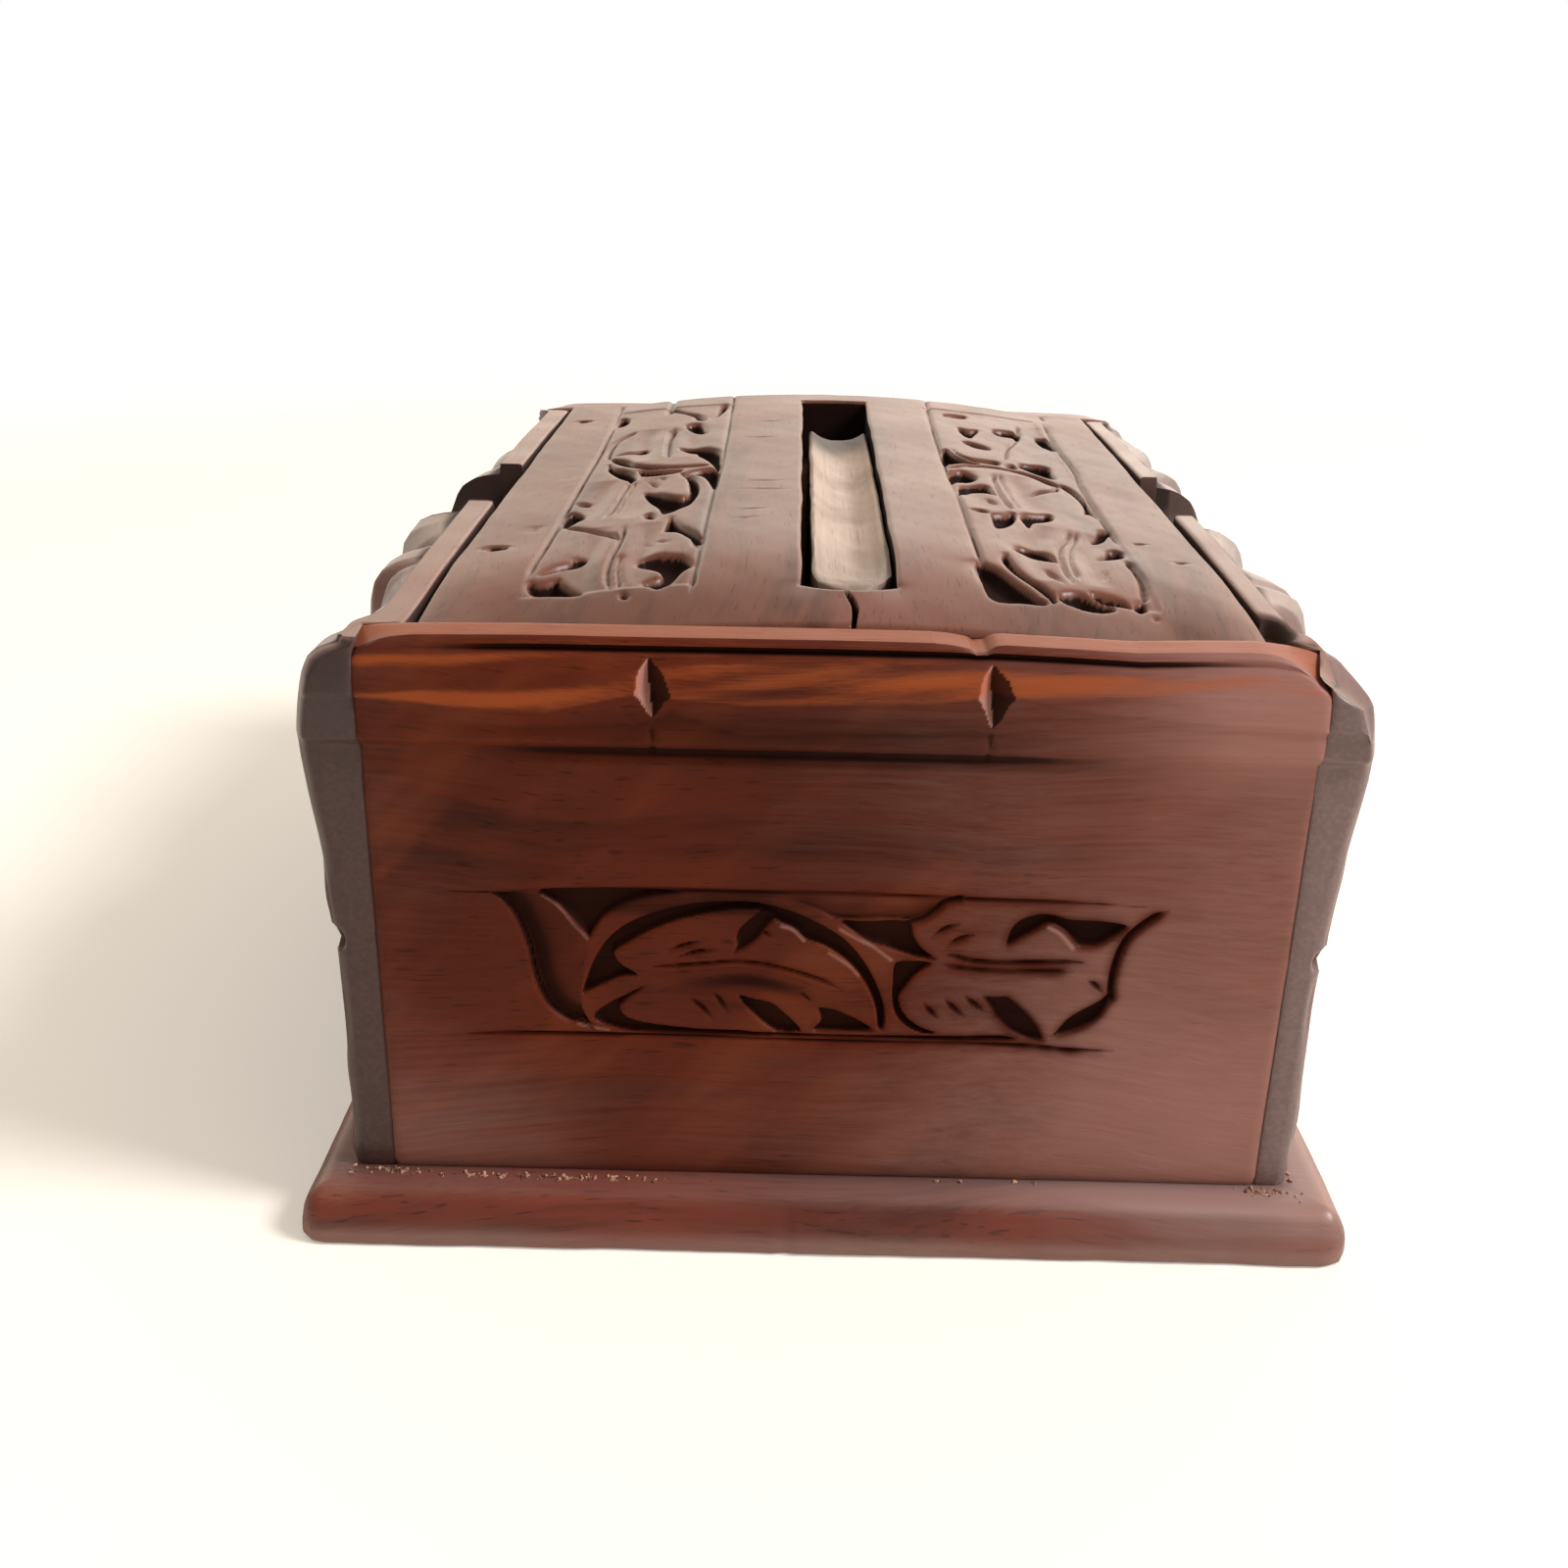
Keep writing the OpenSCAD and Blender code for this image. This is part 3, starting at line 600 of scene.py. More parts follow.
    # ribs, veins and the lines that close the panel
    line(first_rib, 0.75, 0.55, thin=(0.3, 0.1))
    line([(-18, 30.3), (-14, 30.7), (-10, 30.9), (-6, 30.5), (-3, 29.7), (0, 28.7)], 0.8, 0.32)
    for vein in ([(-17.5, 32.5), (-15.2, 33.6), (-12.3, 34.4)], [(-16.3, 32.1), (-13.4, 33), (-11.2, 33.2)],
            [(-15, 28), (-13.3, 26.6), (-11.8, 25)], [(-12.7, 28.8), (-11.4, 27.4), (-10.3, 25.8)],
            [(-8.6, 35.2), (-7.2, 35.4), (-5.6, 34.6)], [(-4, 29.3), (-2.6, 27.9), (-1, 27)], [(11.4, 28.6),
            (12.6, 27.2), (14.2, 25.9)], [(9.4, 27.9), (10.3, 26.7), (11.4, 25.7)], [(13.4, 28.9),
            (14.6, 27.8), (16.2, 26.6)], [(10.9, 33.7), (12.9, 35.1), (15.1, 35.9)], [(9.6, 34.9),
            (11.3, 36.2), (13.3, 37.1)], [(25.9, 30.9), (27, 30.2), (27.9, 29.2)]):
        line(vein, 0.8, 0.62, reach=0.4)
    line(second_rib, 0.8, 0.55, thin=(0.2, 0.5))
    line([(10.6, 32.3), (13, 31.8), (17, 31.5), (21, 31.6), (25, 31.7)], 0.9, 0.5)
    line([(7.4, 36.7), (9, 37.3), (10.2, 38.3), (11.3, 39.3), (13.6, 39.8)], 1.0, 0.8, thin=(0.8, 0))
    line([(33.6, 38.9), (32.3, 38.1), (31, 37), (29.8, 35.7), (29.1, 34), (28.7, 32), (28.6, 30),
        (28.8, 28.7)], 1.0, 0.8, thin=(0.1, 1))
    line([(-43.5, 39.2), (-35, 39.2), (-29, 39.5), (-20, 39.9), (-8, 39.9), (4, 39.9), (14, 39.6),
        (24, 39.5), (33, 39.1), (36.5, 39)], 0.7, 0.5, reach=0.2)
    line([(-37.7, 22.8), (-30, 23), (-24, 23), (-14, 23), (0, 22.8), (12, 22.9), (20, 22.8), (25, 22.4),
        (29.3, 22.5)], 0.75, 0.55, thin=(0.3, 0.5), reach=0.06)
    return depth


# how the moulding was cut, at places along the wall: the heights of its ridge and of
# the hollow below that, and how far the ridge, hollow, bead, low line and lip stand out
mould_at = (-46, -38, -28, -20, -16, -9, 0, 8, 12.5, 17, 21, 28, 36, 46)
ridge_up = (60.5, 59.8, 59.4, 61, 60.7, 60.4, 60.7, 61, 61.4, 61.6, 60.8, 59.8, 59.4, 59.2)
hollow_up = (57.8, 57.8, 57.4, 57.4, 58.6, 56.8, 57.2, 57.2, 57.4, 57.4, 57.2, 57, 57, 57)
ridge_out = (1.5, 1.8, 2.1, 2, 1.9, 2, 2.1, 2.1, 2, 2, 2, 1.8, 1.7, 1.6)
hollow_out = (1.1, 1, 0.7, 0.6, 0.4, 0.8, 0.6, 0.5, 0.5, 0.7, 0.9, 1.1, 1.25, 1.3)
bead_out = (1.2, 1.2, 1.2, 1.1, 1, 1.1, 1.1, 1, 0.9, 1, 1.1, 1.2, 1.2, 1.2)
line_out = (0, 0, -0.4, -0.6, -0.7, -0.7, -0.7, -0.7, -0.6, -0.5, -0.3, -0.05, 0, 0)
lip_out = (0.35, 0, -0.6, -0.6, -0.6, -0.6, -0.6, -0.6, -0.6, -0.6, -0.6, -0.4, -0.1, 0.3)


def end_mould(x, z, seed):
    """The moulding on the front and back walls, pared with a knife and a flat chisel."""
    wavy = z + 0.25 * ripple(x, 41, seed) * ease(56, 60, z) * ease(65.0, 64, z)
    stand = np.zeros(x.shape)
    for row, at in enumerate(x[:, 0]):
        ridge, low, peak, dip, bead, line, lip = (
            np.interp(at, mould_at, part)
            for part in (ridge_up, hollow_up, ridge_out, hollow_out, bead_out, line_out, lip_out))
        up = (53.4, 54, 54.5, 54.9, 55.4, 56, low, ridge - 0.35, ridge, (ridge + 64.7) / 2, 64.7, 65,
              65.35, 65.6, 65.9, 66.2)
        out = (0, line / 2, line, 0.7 * line, 0.55 * bead, bead, dip, peak - 0.35, peak, peak - 0.4, 0.45,
               lip, lip, 0.25, 0.1, -0.5)
        stand[row] = np.interp(wavy[row], up, out)
    return stand * (1 + 0.07 * ripple(x, 33, seed + 1) * (z > 56))


def mould_shade(x, z):
    """Painted shade in the moulding's two lines and on its lower facets, under the ridge."""
    lip_deep = np.clip(np.interp(x, mould_at, lip_out) / -0.6, 0, 1)
    line_deep = np.clip(np.interp(x, mould_at, line_out) / -0.6, 0, 1)
    upper = lip_deep * np.exp(-((z - 65.15) / 0.34) ** 2)
    lower = line_deep * np.exp(-((z - 54.5) / 0.5) ** 2)
    under = 0.35 * line_deep * ease(60.5, 58.5, z) * ease(54, 55, z)
    return 0.9 * upper + 0.8 * lower + under


def v_cut(stand, x, z, middle):
    """A V cut across the moulding, with masks for its steep left face, which gets a painted highlight, and
    its right face, which gets painted shade.
    """
    valley = np.interp(z, (57.2, 58, 59.2, 61.4, 63.4, 64.4, 64.9), (1.6, 0.9, 0.35, 0, 0.15, 0.5, 1.2))
    off = x - middle + 0.4 * ease(58, 64, z)
    cut = valley + np.where(off < 0, -1.45 * off, 0.9 * off)
    within = (cut < stand) & (z > 57) & (z < 65)
    tail = 0.35 * np.exp(-((off + 0.1) / 0.3) ** 2) * ease(54.2, 55, z) * ease(58, 57, z)
    return np.where(within, cut, stand) - tail, within & (off < 0), within & (off > 0)


def blurred(field, times=3):
    for _ in range(times):
        padded = np.pad(field, 1, mode="edge")
        field = (padded[:-2, 1:-1] + padded[2:, 1:-1] + padded[1:-1, :-2] + padded[1:-1, 2:]
                 + 4 * padded[1:-1, 1:-1]) / 8
    return field


def soft_min(value, top, round_off=0.3):
    return np.minimum(value, top) - round_off * np.log1p(np.exp(-np.abs(value - top) / round_off))


def knocked(x, y, knocks):
    """The height left of a wall's top where its corners were knocked down."""
    top = np.full(x.shape, 90.0)
    for side, end, gaps, heights in knocks:
        gap = np.hypot(52 - side * x, 68 - end * y)
        gap = np.where((side * x > 30) & (end * y > 40), gap, 99.0)
        top = np.minimum(top, np.interp(gap, gaps, heights))
    return top


def levels(*spans):
    """Heights, or places along a wall, in spans that each have their own step."""
    made = [np.arange(low, high, step) for low, high, step in spans]
    return np.concatenate(made + [[spans[-1][1]]])


def wall_heights(plain, panel, mould):
    """Heights up a wall, with a step for its foot, one for its carved panel and one for its top."""
    return levels((board_low, panel_foot, plain), (panel_foot, panel_head, panel),
                  (panel_head, mould_foot, 1.0), (mould_foot, board_top, mould))


def raise_wall(name, track, outwards, inner, heights, stand, top, ceiling, finish, hollow, sheen_and_pale_marks, rubbed_and_lit=0.0,
               aside=0.0, shade=None):
    """Builds one wall from its outer face, its top and its plain inner face."""
    rows, count = stand.shape
    outer = track[:, None, :] + outwards[:, None, :] * stand[:, :, None] + aside
    lifted = np.where(heights > 53, 53 + (heights - 53) * (top[:, None] - 53) / (board_top - 53), heights)
    outer = np.concatenate([outer, np.broadcast_to(lifted, (rows, count))[:, :, None]], axis=2)
    share = np.array([0.04, 0.1, 0.17, 0.25, 0.34, 0.43, 0.52, 0.61, 0.7, 0.78, 0.86, 0.92, 0.96, 1.0])
    drop = np.interp(share, (0, 0.05, 0.8, 0.92, 0.96, 1), (0.1, 0, 0, 0.08, 0.2, 0.6))
    over = outer[:, -1:, :2] + (inner[:, None, :] - outer[:, -1:, :2]) * share[None, :, None]
    over = np.concatenate([over, (top[:, None] - drop[None, :])[:, :, None]], axis=2)
    down = np.array([60.0, 52, 40, 28, 16, board_low])
    within = np.broadcast_to(inner[:, None, :], (rows, len(down), 2))
    within = np.concatenate([within, np.broadcast_to(down, (rows, len(down)))[:, :, None]], axis=2)
    loops = np.concatenate([outer, over, within], axis=1)
    limit = ceiling(loops[:, :, 0], loops[:, :, 1])
    loops[:, :, 2] = np.where(limit < 80, soft_min(loops[:, :, 2], limit), loops[:, :, 2])
    relief = stand + np.sum(aside * outwards[:, None, :], axis=2) if np.ndim(aside) else stand
    proud = relief - blurred(relief, 4)
    # dirt and painted shade: the given darkening, painted shade in concave places, on the top where it is cut
    # down low, and over the whole inner face
    dirt_and_shade = np.zeros(loops.shape[:2])
    dirt_and_shade[:, :count] = hollow + np.clip(-proud * 2.2, 0, 0.5)
    dirt_and_shade[:, count:count + len(share)] = 0.5 * ease(64, 60, limit[:, count:count + len(share)])
    dirt_and_shade[:, count + len(share) - 1:] = 1.0
    if shade:
        dirt_and_shade = dirt_and_shade + shade(loops[:, :, 0], loops[:, :, 1], loops[:, :, 2])
    # the bared colour: worn proud edges and the worn top, with any painted light given
    edge_share = np.zeros(loops.shape[:2])
    edge_share[:, :count] = np.clip(np.clip(proud * 2, 0, 0.5) + rubbed_and_lit, 0, 1)
    edge_share[:, count:count + len(share)] = 0.75
    # painted sheen: the given share on the outer face, and more on the top
    sheen_and_marks_pale = np.zeros(loops.shape[:2])
    sheen_and_marks_pale[:, :count] = sheen_and_pale_marks
    sheen_and_marks_pale[:, count:count + len(share)] = 0.2 + 0.5 * sheen_and_marks_pale[:, count - 1:count]
    points, faces = loft(loops)
    return make(name, points, faces, finish, {"hollow": dirt_and_shade, "edge": edge_share, "sheen_and_pale_marks": sheen_and_marks_pale}, weld=True)


def end_face(x, z, look, cuts, mould_seed, wave_seed):
    """How a front or back board's face stands, where its cuts are deep, and which V-cut faces get painted
    highlight and painted shade.
    """
    carved = leaf_panel(look, z)
    creases = 0.25 * np.exp(-(joint_x - np.abs(x)) / 0.22) + 0.3 * np.exp(-(z - board_low) / 0.4)
    stand = end_mould(look, z, mould_seed)
    highlit_face, shaded = np.zeros(x.shape, dtype=bool), np.zeros(x.shape, dtype=bool)
    for middle in cuts:
        stand, highlit_here, shaded_here = v_cut(stand, look, z, middle)
        highlit_face, shaded = highlit_face | highlit_here, shaded | shaded_here
    stand = stand - carved - creases + 0.05 * dapple(x, z, 19, wave_seed)
    handled = blurred(1.0 * (carved > 0.25), 22)
    return stand, carved, creases, highlit_face, shaded, handled


def end_board(name, end, across, *rest):
    """A front (-1) or back (1) board, raised between its straight outer and inner lines."""
    track = np.stack([across, np.full(len(across), end * front_y)], -1)
    inner = np.stack([across, np.full(len(across), end * front_in_y)], -1)
    return raise_wall(name, track, np.tile((0.0, float(end)), (len(across), 1)), inner, *rest)


left_knock = ((0.3, 2.1, 2.9, 4.6, 6.4, 8.7, 11.5, 13), (57.5, 59.6, 60.8, 62.6, 64.4, 65.5, 66.6, 90))
right_knock = ((5.9, 7, 8, 9.5, 11.2, 13.5, 15), (62, 62.9, 63.8, 65, 65.9, 66.6, 90))
# its pale colour serves the painted sheen and highlight, its bared orange also the painted light on the
# moulding's upper facet
front_finish = walnut("Front walnut", tint(95, 39, 23), tint(79, 31, 18), tint(46, 17, 11), curl=0.45,
                      gloss=0.40, sheen=0.03, shine=0.08, seed=0.0, sheen_and_marks_pale=tint(170, 124, 116),
                      bared_and_lit=tint(182, 92, 46), wear_and_lit=0.55)

across = levels((-joint_x, -36, 0.5), (-36, 34.5, 0.2), (34.5, joint_x, 0.4))
heights = wall_heights(1.1, 0.2, 0.27)
front_x, front_z = np.meshgrid(across, heights, indexing="ij")
stand, carved, creases, highlit_face, shaded, handled = end_face(front_x, front_z, front_x, (-17.9, 14.5), 11, 3)
# darkening: deeper cuts darker, and round them and in the joints; painted shade in the foot's gap,
# the moulding's lines, under its ridge and on the V cuts' right faces; darker under the panel's upper line
dirt_and_shade = 0.9 * ease(0.28, 1.0, carved) + 0.4 * handled + 0.5 * creases + mould_shade(front_x, front_z)
over_leaf = ease(-28, -20, front_x) * ease(-1, -9, front_x) * ease(36.4, 37.8, front_z) * (front_z < 39.8)
dirt_and_shade = np.where(highlit_face, 0, dirt_and_shade + 0.5 * over_leaf) + 1.3 * shaded
# painted sheen: paler more to the right, towards the foot and on the moulding's right end, less round
# the carving; painted highlight on the V cuts' left faces
sheen_and_pale_marks = 0.57 * ease(-8, 44, front_x) * ease(150, 0, front_z) + 0.06
sheen_and_pale_marks = sheen_and_pale_marks + 0.3 * ease(20, 44, front_x) * ease(50, 56, front_z)
sheen_and_pale_marks = sheen_and_pale_marks + 0.42 * ease(32, 6, front_z) * (0.4 + 0.6 * ease(-10, -44, front_x))
# painted light: the moulding's upper facet, which faces up, takes the orange bared colour in streaks
ridge_z = np.interp(front_x, mould_at, ridge_up)
rubbed_and_lit = ease(ridge_z - 0.4, ridge_z + 0.5, front_z) * ease(65.0, 64.0, front_z)
streaks = dapple(front_x * 0.28, front_z * 1.5, 8, 77)
rubbed_and_lit = rubbed_and_lit * np.clip(0.46 + 1.1 * streaks - 0.5 * ease(16, 34, front_x), 0.0, 1)
sheen_and_pale_marks = sheen_and_pale_marks * (1 - 0.95 * np.clip(2 * handled, 0, 1))
sheen_and_pale_marks = np.where(highlit_face, 1.4, sheen_and_pale_marks)
# arrises of the carving that have been knocked pale
for scuff in ([(-29.3, 38.9), (-27.5, 37.5), (-26.3, 35.8), (-24.9, 34.2)], [(-5.2, 36.1), (-4, 35.7),
        (-2.9, 34.5)], [(0.7, 36), (2.3, 35), (4.2, 34), (6, 32.6)], [(21.7, 36.7), (23, 35.9),
        (24.3, 34.4)], [(-0.3, 33.2), (1.5, 32), (2.8, 30.7)], [(-26.2, 24.5), (-25.6, 24.1),
        (-22.9, 23.6)]):
    gap, along, _ = measure(front_x, front_z, curve(scuff, closed=False))
    sheen_and_pale_marks = sheen_and_pale_marks + 0.6 * np.clip(1 - gap / 0.3, 0, 1)
crown = np.interp(across, (-46, -40, -30, 0, 14, 22, 28, 34, 40, 46),
                  (-0.5, -0.3, -0.12, 0, -0.05, -0.35, -0.6, -0.4, -0.3, -0.9))
chip = (8.6, 8.8, 12, 12.6, 13.6, 14.6, 15.2, 15.4), (90, 66.7, 65.7, 65.3, 65.4, 66.3, 66.7, 90)
ends = (-1, -1, *left_knock), (1, -1, *right_knock)
front_board = end_board(
    "front_board", -1, across, heights, stand, board_top + crown,
    lambda x, y: np.minimum(knocked(x, y, ends), np.interp(x, *chip)),
    front_finish, dirt_and_shade, sheen_and_pale_marks, rubbed_and_lit)
fit(front_board, "case", "wall_walnut", "front_wall")


# ---------------------------------------------------------------------------
# Back wall: the same board and carving as the front, out of sight in daily use,
# so it keeps more of its colour. Butted and nailed as the front wall is.
back_finish = walnut("Back walnut", tint(112, 54, 38), tint(88, 42, 30), tint(52, 24, 17), curl=0.3,
                     gloss=0.38, sheen=0.28, seed=0.31)

across = levels((-joint_x, -36, 0.5), (-36, 36, 0.25), (36, joint_x, 0.5))
heights = wall_heights(1.1, 0.25, 0.32)
back_x, back_z = np.meshgrid(across, heights, indexing="ij")
stand, carved, creases, highlit_face, shaded, handled = end_face(back_x, back_z, -back_x, (-17.0, 16.0), 23, 7)
# darker with the cuts' depth, round them and in the joints; painted shade in the foot's gap, the moulding's
# lines and the V cuts' right faces; below, painted sheen to the right, painted highlight on the V cuts' left
# faces and painted light on the moulding's upper facet
dirt_and_shade = 0.9 * ease(0.4, 1.1, carved) + 0.4 * handled + 0.5 * creases
dirt_and_shade = dirt_and_shade + mould_shade(-back_x, back_z) + 0.6 * shaded
crown = np.interp(across, (-46, -34, 0, 26, 46), (-0.7, -0.35, 0, -0.3, -0.7))
back_board = end_board(
    "back_board", 1, across, heights, stand, board_top + crown,
    lambda x, y: knocked(x, y, ((-1, 1, *left_knock), (1, 1, *left_knock))),
    back_finish, dirt_and_shade, 0.3 * ease(-20, 48, back_x) + 1.0 * highlit_face,
    0.5 * ease(60, 61, back_z) * ease(65, 64, back_z))
fit(back_board, "case", "wall_walnut", "back_wall")

# ---------------------------------------------------------------------------
# Side walls: thicker walnut boards whose ends cover the front and back boards, so
# that their end grain shows. Pillows are carved along the top, with a finger
# notch in the middle, and the upright corners are chamfered and nicked.
wall_in, lip_in = 42.4, 46.32
notch_half, notch_floor, notch_round = 11.0, 57.6, 5.0
nick_z, nick_deep = 33.3, 1.5

# the wall's profile where it dips and where it swells, along its run and at its ends
hollow_foot = [(36, 0), (40, 0.3), (44, 0.7), (49, 1.2)]
swell_foot = [(36, 0), (40, 0.4), (45, 1.0), (50, 1.8), (54, 2.3), (57, 2.5), (60, 2.5)]
inner_strip = [(64.9, -5.7), (65.3, -5.3), (66.2, -5.4)]
hollowed = np.array(hollow_foot + [(53, 1.4), (56, 1.1), (58.5, 0.3), (61, -0.8), (63, -2.0), (64.4, -3.6)]
                    + inner_strip)
swelled = np.array(swell_foot + [(62, 2.1), (63.3, 1.2), (64.1, -0.4), (64.6, -2.6)] + inner_strip)
hollow_end = np.array(hollow_foot + [(53, 1.6), (56, 1.6), (58.5, 1.0), (61.5, 0.1), (63.2, -0.5),
                                     (64.7, -1.5), (65.5, -3.0), (66.2, -3.3)])
swell_end = np.array(swell_foot + [(62.5, 2.2), (64, 1.3), (65, -0.9), (65.5, -2.9), (66.2, -3.3)])
left_reach = np.array([(-66, 51.9), (-61, 51.8), (-56, 51.6), (-50, 50.6), (-44, 49.6), (-39, 50.8),
    (-34, 52.6), (-29, 52.6), (-25.5, 49.8), (-22, 51.4), (-16, 53.1), (-11, 53.0), (-3, 52.3), (2, 52),
    (10, 52.4), (15, 51.6), (21, 50.0), (25, 50.9), (30, 51.0), (35, 49.7), (40, 50.2), (47, 50.4),
    (55, 48.8), (62, 47.4), (66, 47.0)])
right_reach = np.array([(-66, 51.2), (-62, 49.9), (-58, 47.9), (-52, 47.6), (-47, 48.6), (-43, 50.9),
    (-37, 52.2), (-32, 51.6), (-27, 49.9), (-23, 48.8), (-19, 50.2), (-12, 51.6), (-5, 50.8), (0, 50.5),
    (5, 50.5), (10, 51.2), (15, 50.8), (20, 49.6), (25, 51.8), (31, 49.7), (38, 50.2), (45, 51.4),
    (52, 51.2), (59, 50), (66, 49.6)])


def side_mould(y, z, wall_out, reach_of, cuts, seed):
    """The pillows along a side wall, swelling and hollowing as they were carved."""
    full = (np.interp(y, *reach_of.T) - wall_out) / 2.3
    full = np.clip(blurred(full, 2), -1.0, 1.05)
    z_here = z + 0.3 * ripple(y, 37, seed) * ease(56, 60, z) * ease(65, 63, z)
    low, high = np.interp(z_here, *hollowed.T), np.interp(z_here, *swelled.T)
    low_end, high_end = np.interp(z_here, *hollow_end.T), np.interp(z_here, *swell_end.T)
    at_end = ease(front_in_y - 4.5, front_in_y + 0.5, np.abs(y))
    low, high = low + (low_end - low) * at_end, high + (high_end - high) * at_end
    stand = low + (high - low) * full
    for middle in cuts:
        slant = middle - np.sign(middle) * (z - 60) * 0.5
        nip = 1.5 * np.clip(1 - np.abs(y - slant) / 2.0, 0, 1) * ease(57, 61, z) * ease(66.2, 65, z)
        stand = stand - nip
    return stand


def side_wall(name, side, wall_out, reach_of, cuts, knocks, finish, seed, sheen_and_pale_marks, darkening, gouge=None):
    """One side wall, from its joint with the front board round to the back one."""
    bend_at = 1.5
    end_x = np.array([lip_in + (wall_out - bend_at - lip_in) * t for t in (0, 0.06, 0.14, 0.4, 0.7, 0.95)])
    arc = np.linspace(-np.pi / 2, 0, 9)
    arc_x = wall_out - bend_at + bend_at * np.sign(np.cos(arc)) * np.abs(np.cos(arc)) ** 1.25
    arc_y = -front_y + bend_at + bend_at * -np.abs(np.sin(arc)) ** 1.25
    bend_end = front_y - bend_at - 0.4
    run = levels((-bend_end, -11.3, 0.34), (-11.3, -10.9, 0.08), (-10.9, -5.9, 0.3), (-5.9, 5.9, 0.34),
                 (5.9, 10.9, 0.3), (10.9, 11.3, 0.08), (11.3, bend_end, 0.34))
    way = np.concatenate([np.stack([end_x, np.full(len(end_x), -front_y)], -1), np.stack([arc_x, arc_y], -1)])
    facing = np.concatenate([np.tile((0.0, -1.0), (len(end_x), 1)), np.stack([np.cos(arc), np.sin(arc)], -1)])
    turning = np.concatenate([np.zeros(len(end_x)), ease(-np.pi / 2, 0, arc)])
    other_end = way[::-1] * (1, -1)
    track = np.concatenate([way, np.stack([np.full(len(run), wall_out), run], -1), other_end])
    outwards = np.concatenate([facing, np.tile((1.0, 0.0), (len(run), 1)), facing[::-1] * (1, -1)])
    sideness = np.concatenate([turning, np.ones(len(run)), turning[::-1]])
    # the inner face steps out round the end of the front and back boards
    inner_y = np.clip(track[:, 1], -front_y, front_y)
    deep_in = np.abs(inner_y) < front_in_y
    inner = np.stack([np.where(deep_in, wall_in, lip_in),
                      np.where(deep_in, inner_y, np.sign(inner_y) * front_in_y)], -1)
    heights = wall_heights(1.3, 0.3, 0.34)
    place_y = np.broadcast_to(track[:, 1:2], (len(track), len(heights)))
    place_x = np.broadcast_to(track[:, 0:1], place_y.shape)
    place_z = np.broadcast_to(heights, place_y.shape)
    round_side = side_mould(place_y, place_z, wall_out, reach_of, cuts, seed)
    round_end = end_mould(place_x * side, place_z, seed)
    spread = np.clip((track[:, 0] - lip_in) / (wall_out - bend_at - lip_in), 0, 1)[:, None]
    aside = np.stack([round_side * spread, np.sign(place_y) * round_end * (1 - sideness[:, None])], -1)
    stand = np.zeros(place_y.shape)
    onside = ease(0.96, 1.0, sideness)[:, None]
    look = np.where(side > 0, place_y, -place_y)
    carved = leaf_panel(look + 30.5, place_z) + leaf_panel(30.5 - look, place_z)
    carved = blurred(np.minimum(carved, 1.3), 1) * onside * (np.abs(place_y) < 62)
    at_corner = np.exp(-((sideness - 0.5) / 0.33) ** 2)
    near_end = np.exp(-(64 - np.abs(place_y[:, 0])) / 1.3)
    at_corner = at_corner + 0.75 * near_end * (sideness > 0.9)
    nick = nick_deep * np.clip(at_corner, 0, 1)[:, None] * np.clip(1 - np.abs(place_z - nick_z) / 1.5, 0, 1)
    pared = 0.35 * at_corner[:, None] * ripple(place_z, 29, seed + 2)
    seam = 0.25 * np.exp(-np.abs(place_x - lip_in) / 0.2) * (sideness[:, None] < 0.5)
    foot = 0.3 * np.exp(-(place_z - board_low) / 0.4)
    stand = stand - carved - nick - pared - seam - foot + 0.06 * dapple(place_y, place_z, 21, seed + 3)
    top = 66.45 - 1.0 * (track[:, 1] / 66) ** 2 - 1.1 * ease(57, 66, track[:, 1])
    top = top + 0.1 * ripple(track[:, 1], 35, seed + 4)

    def ceiling(x, y):
        away = np.abs(y)
        curve_in = np.clip(away - (notch_half - notch_round), 0, notch_round)
        floor = notch_floor + notch_round - np.sqrt(np.maximum(notch_round ** 2 - curve_in ** 2, 0))
        limit = np.where(away < notch_half, floor, 90.0)
        if gouge:
            gouge_x, gouge_y, wide, long, drop = gouge
            hole = 1 - ((np.abs(x) - gouge_x) / wide) ** 2 - ((y - gouge_y) / long) ** 2
            limit = np.where(hole > 0, np.minimum(limit, 66.4 - drop * ease(0, 1, hole)), limit)
        return np.minimum(limit, knocked(x, y, knocks))

    def shade(x, y, z):
        # painted shade in the finger notch, along the top's inner edge and in the gouge
        dark = darkening * (np.abs(y) < notch_half + 0.4) * ease(54, 57, z)
        dark = dark + 0.7 * ease(3.2, 4.3, 50 - np.abs(x)) * ease(63.6, 64.4, z) * ease(65.6, 65.2, z)
        if gouge:
            gouge_x, gouge_y, wide, long, _ = gouge
            to_gouge = np.hypot((np.abs(x) - gouge_x) / wide, (y - gouge_y) / long)
            dark = dark + 0.55 * (z > 56) * ease(1.5, 0.9, to_gouge)
        return dark

    flip = np.array([side, 1.0])
    handled = blurred(1.0 * (carved > 0.25), 10)
    # darker in the cuts, round them, in the seam and the nicks; painted shade in the gap at the foot
    made = raise_wall(name, track * flip, outwards * flip, inner * flip, heights, stand, top, ceiling, finish,
                      0.9 * ease(0.4, 1.1, carved) + 0.4 * handled + 0.5 * (seam + foot) + 0.4 * nick,
                      np.full(stand.shape, sheen_and_pale_marks), aside=aside * flip, shade=shade)
    fit(made, "case", "wall_walnut", name.replace("board", "wall"))
    return made


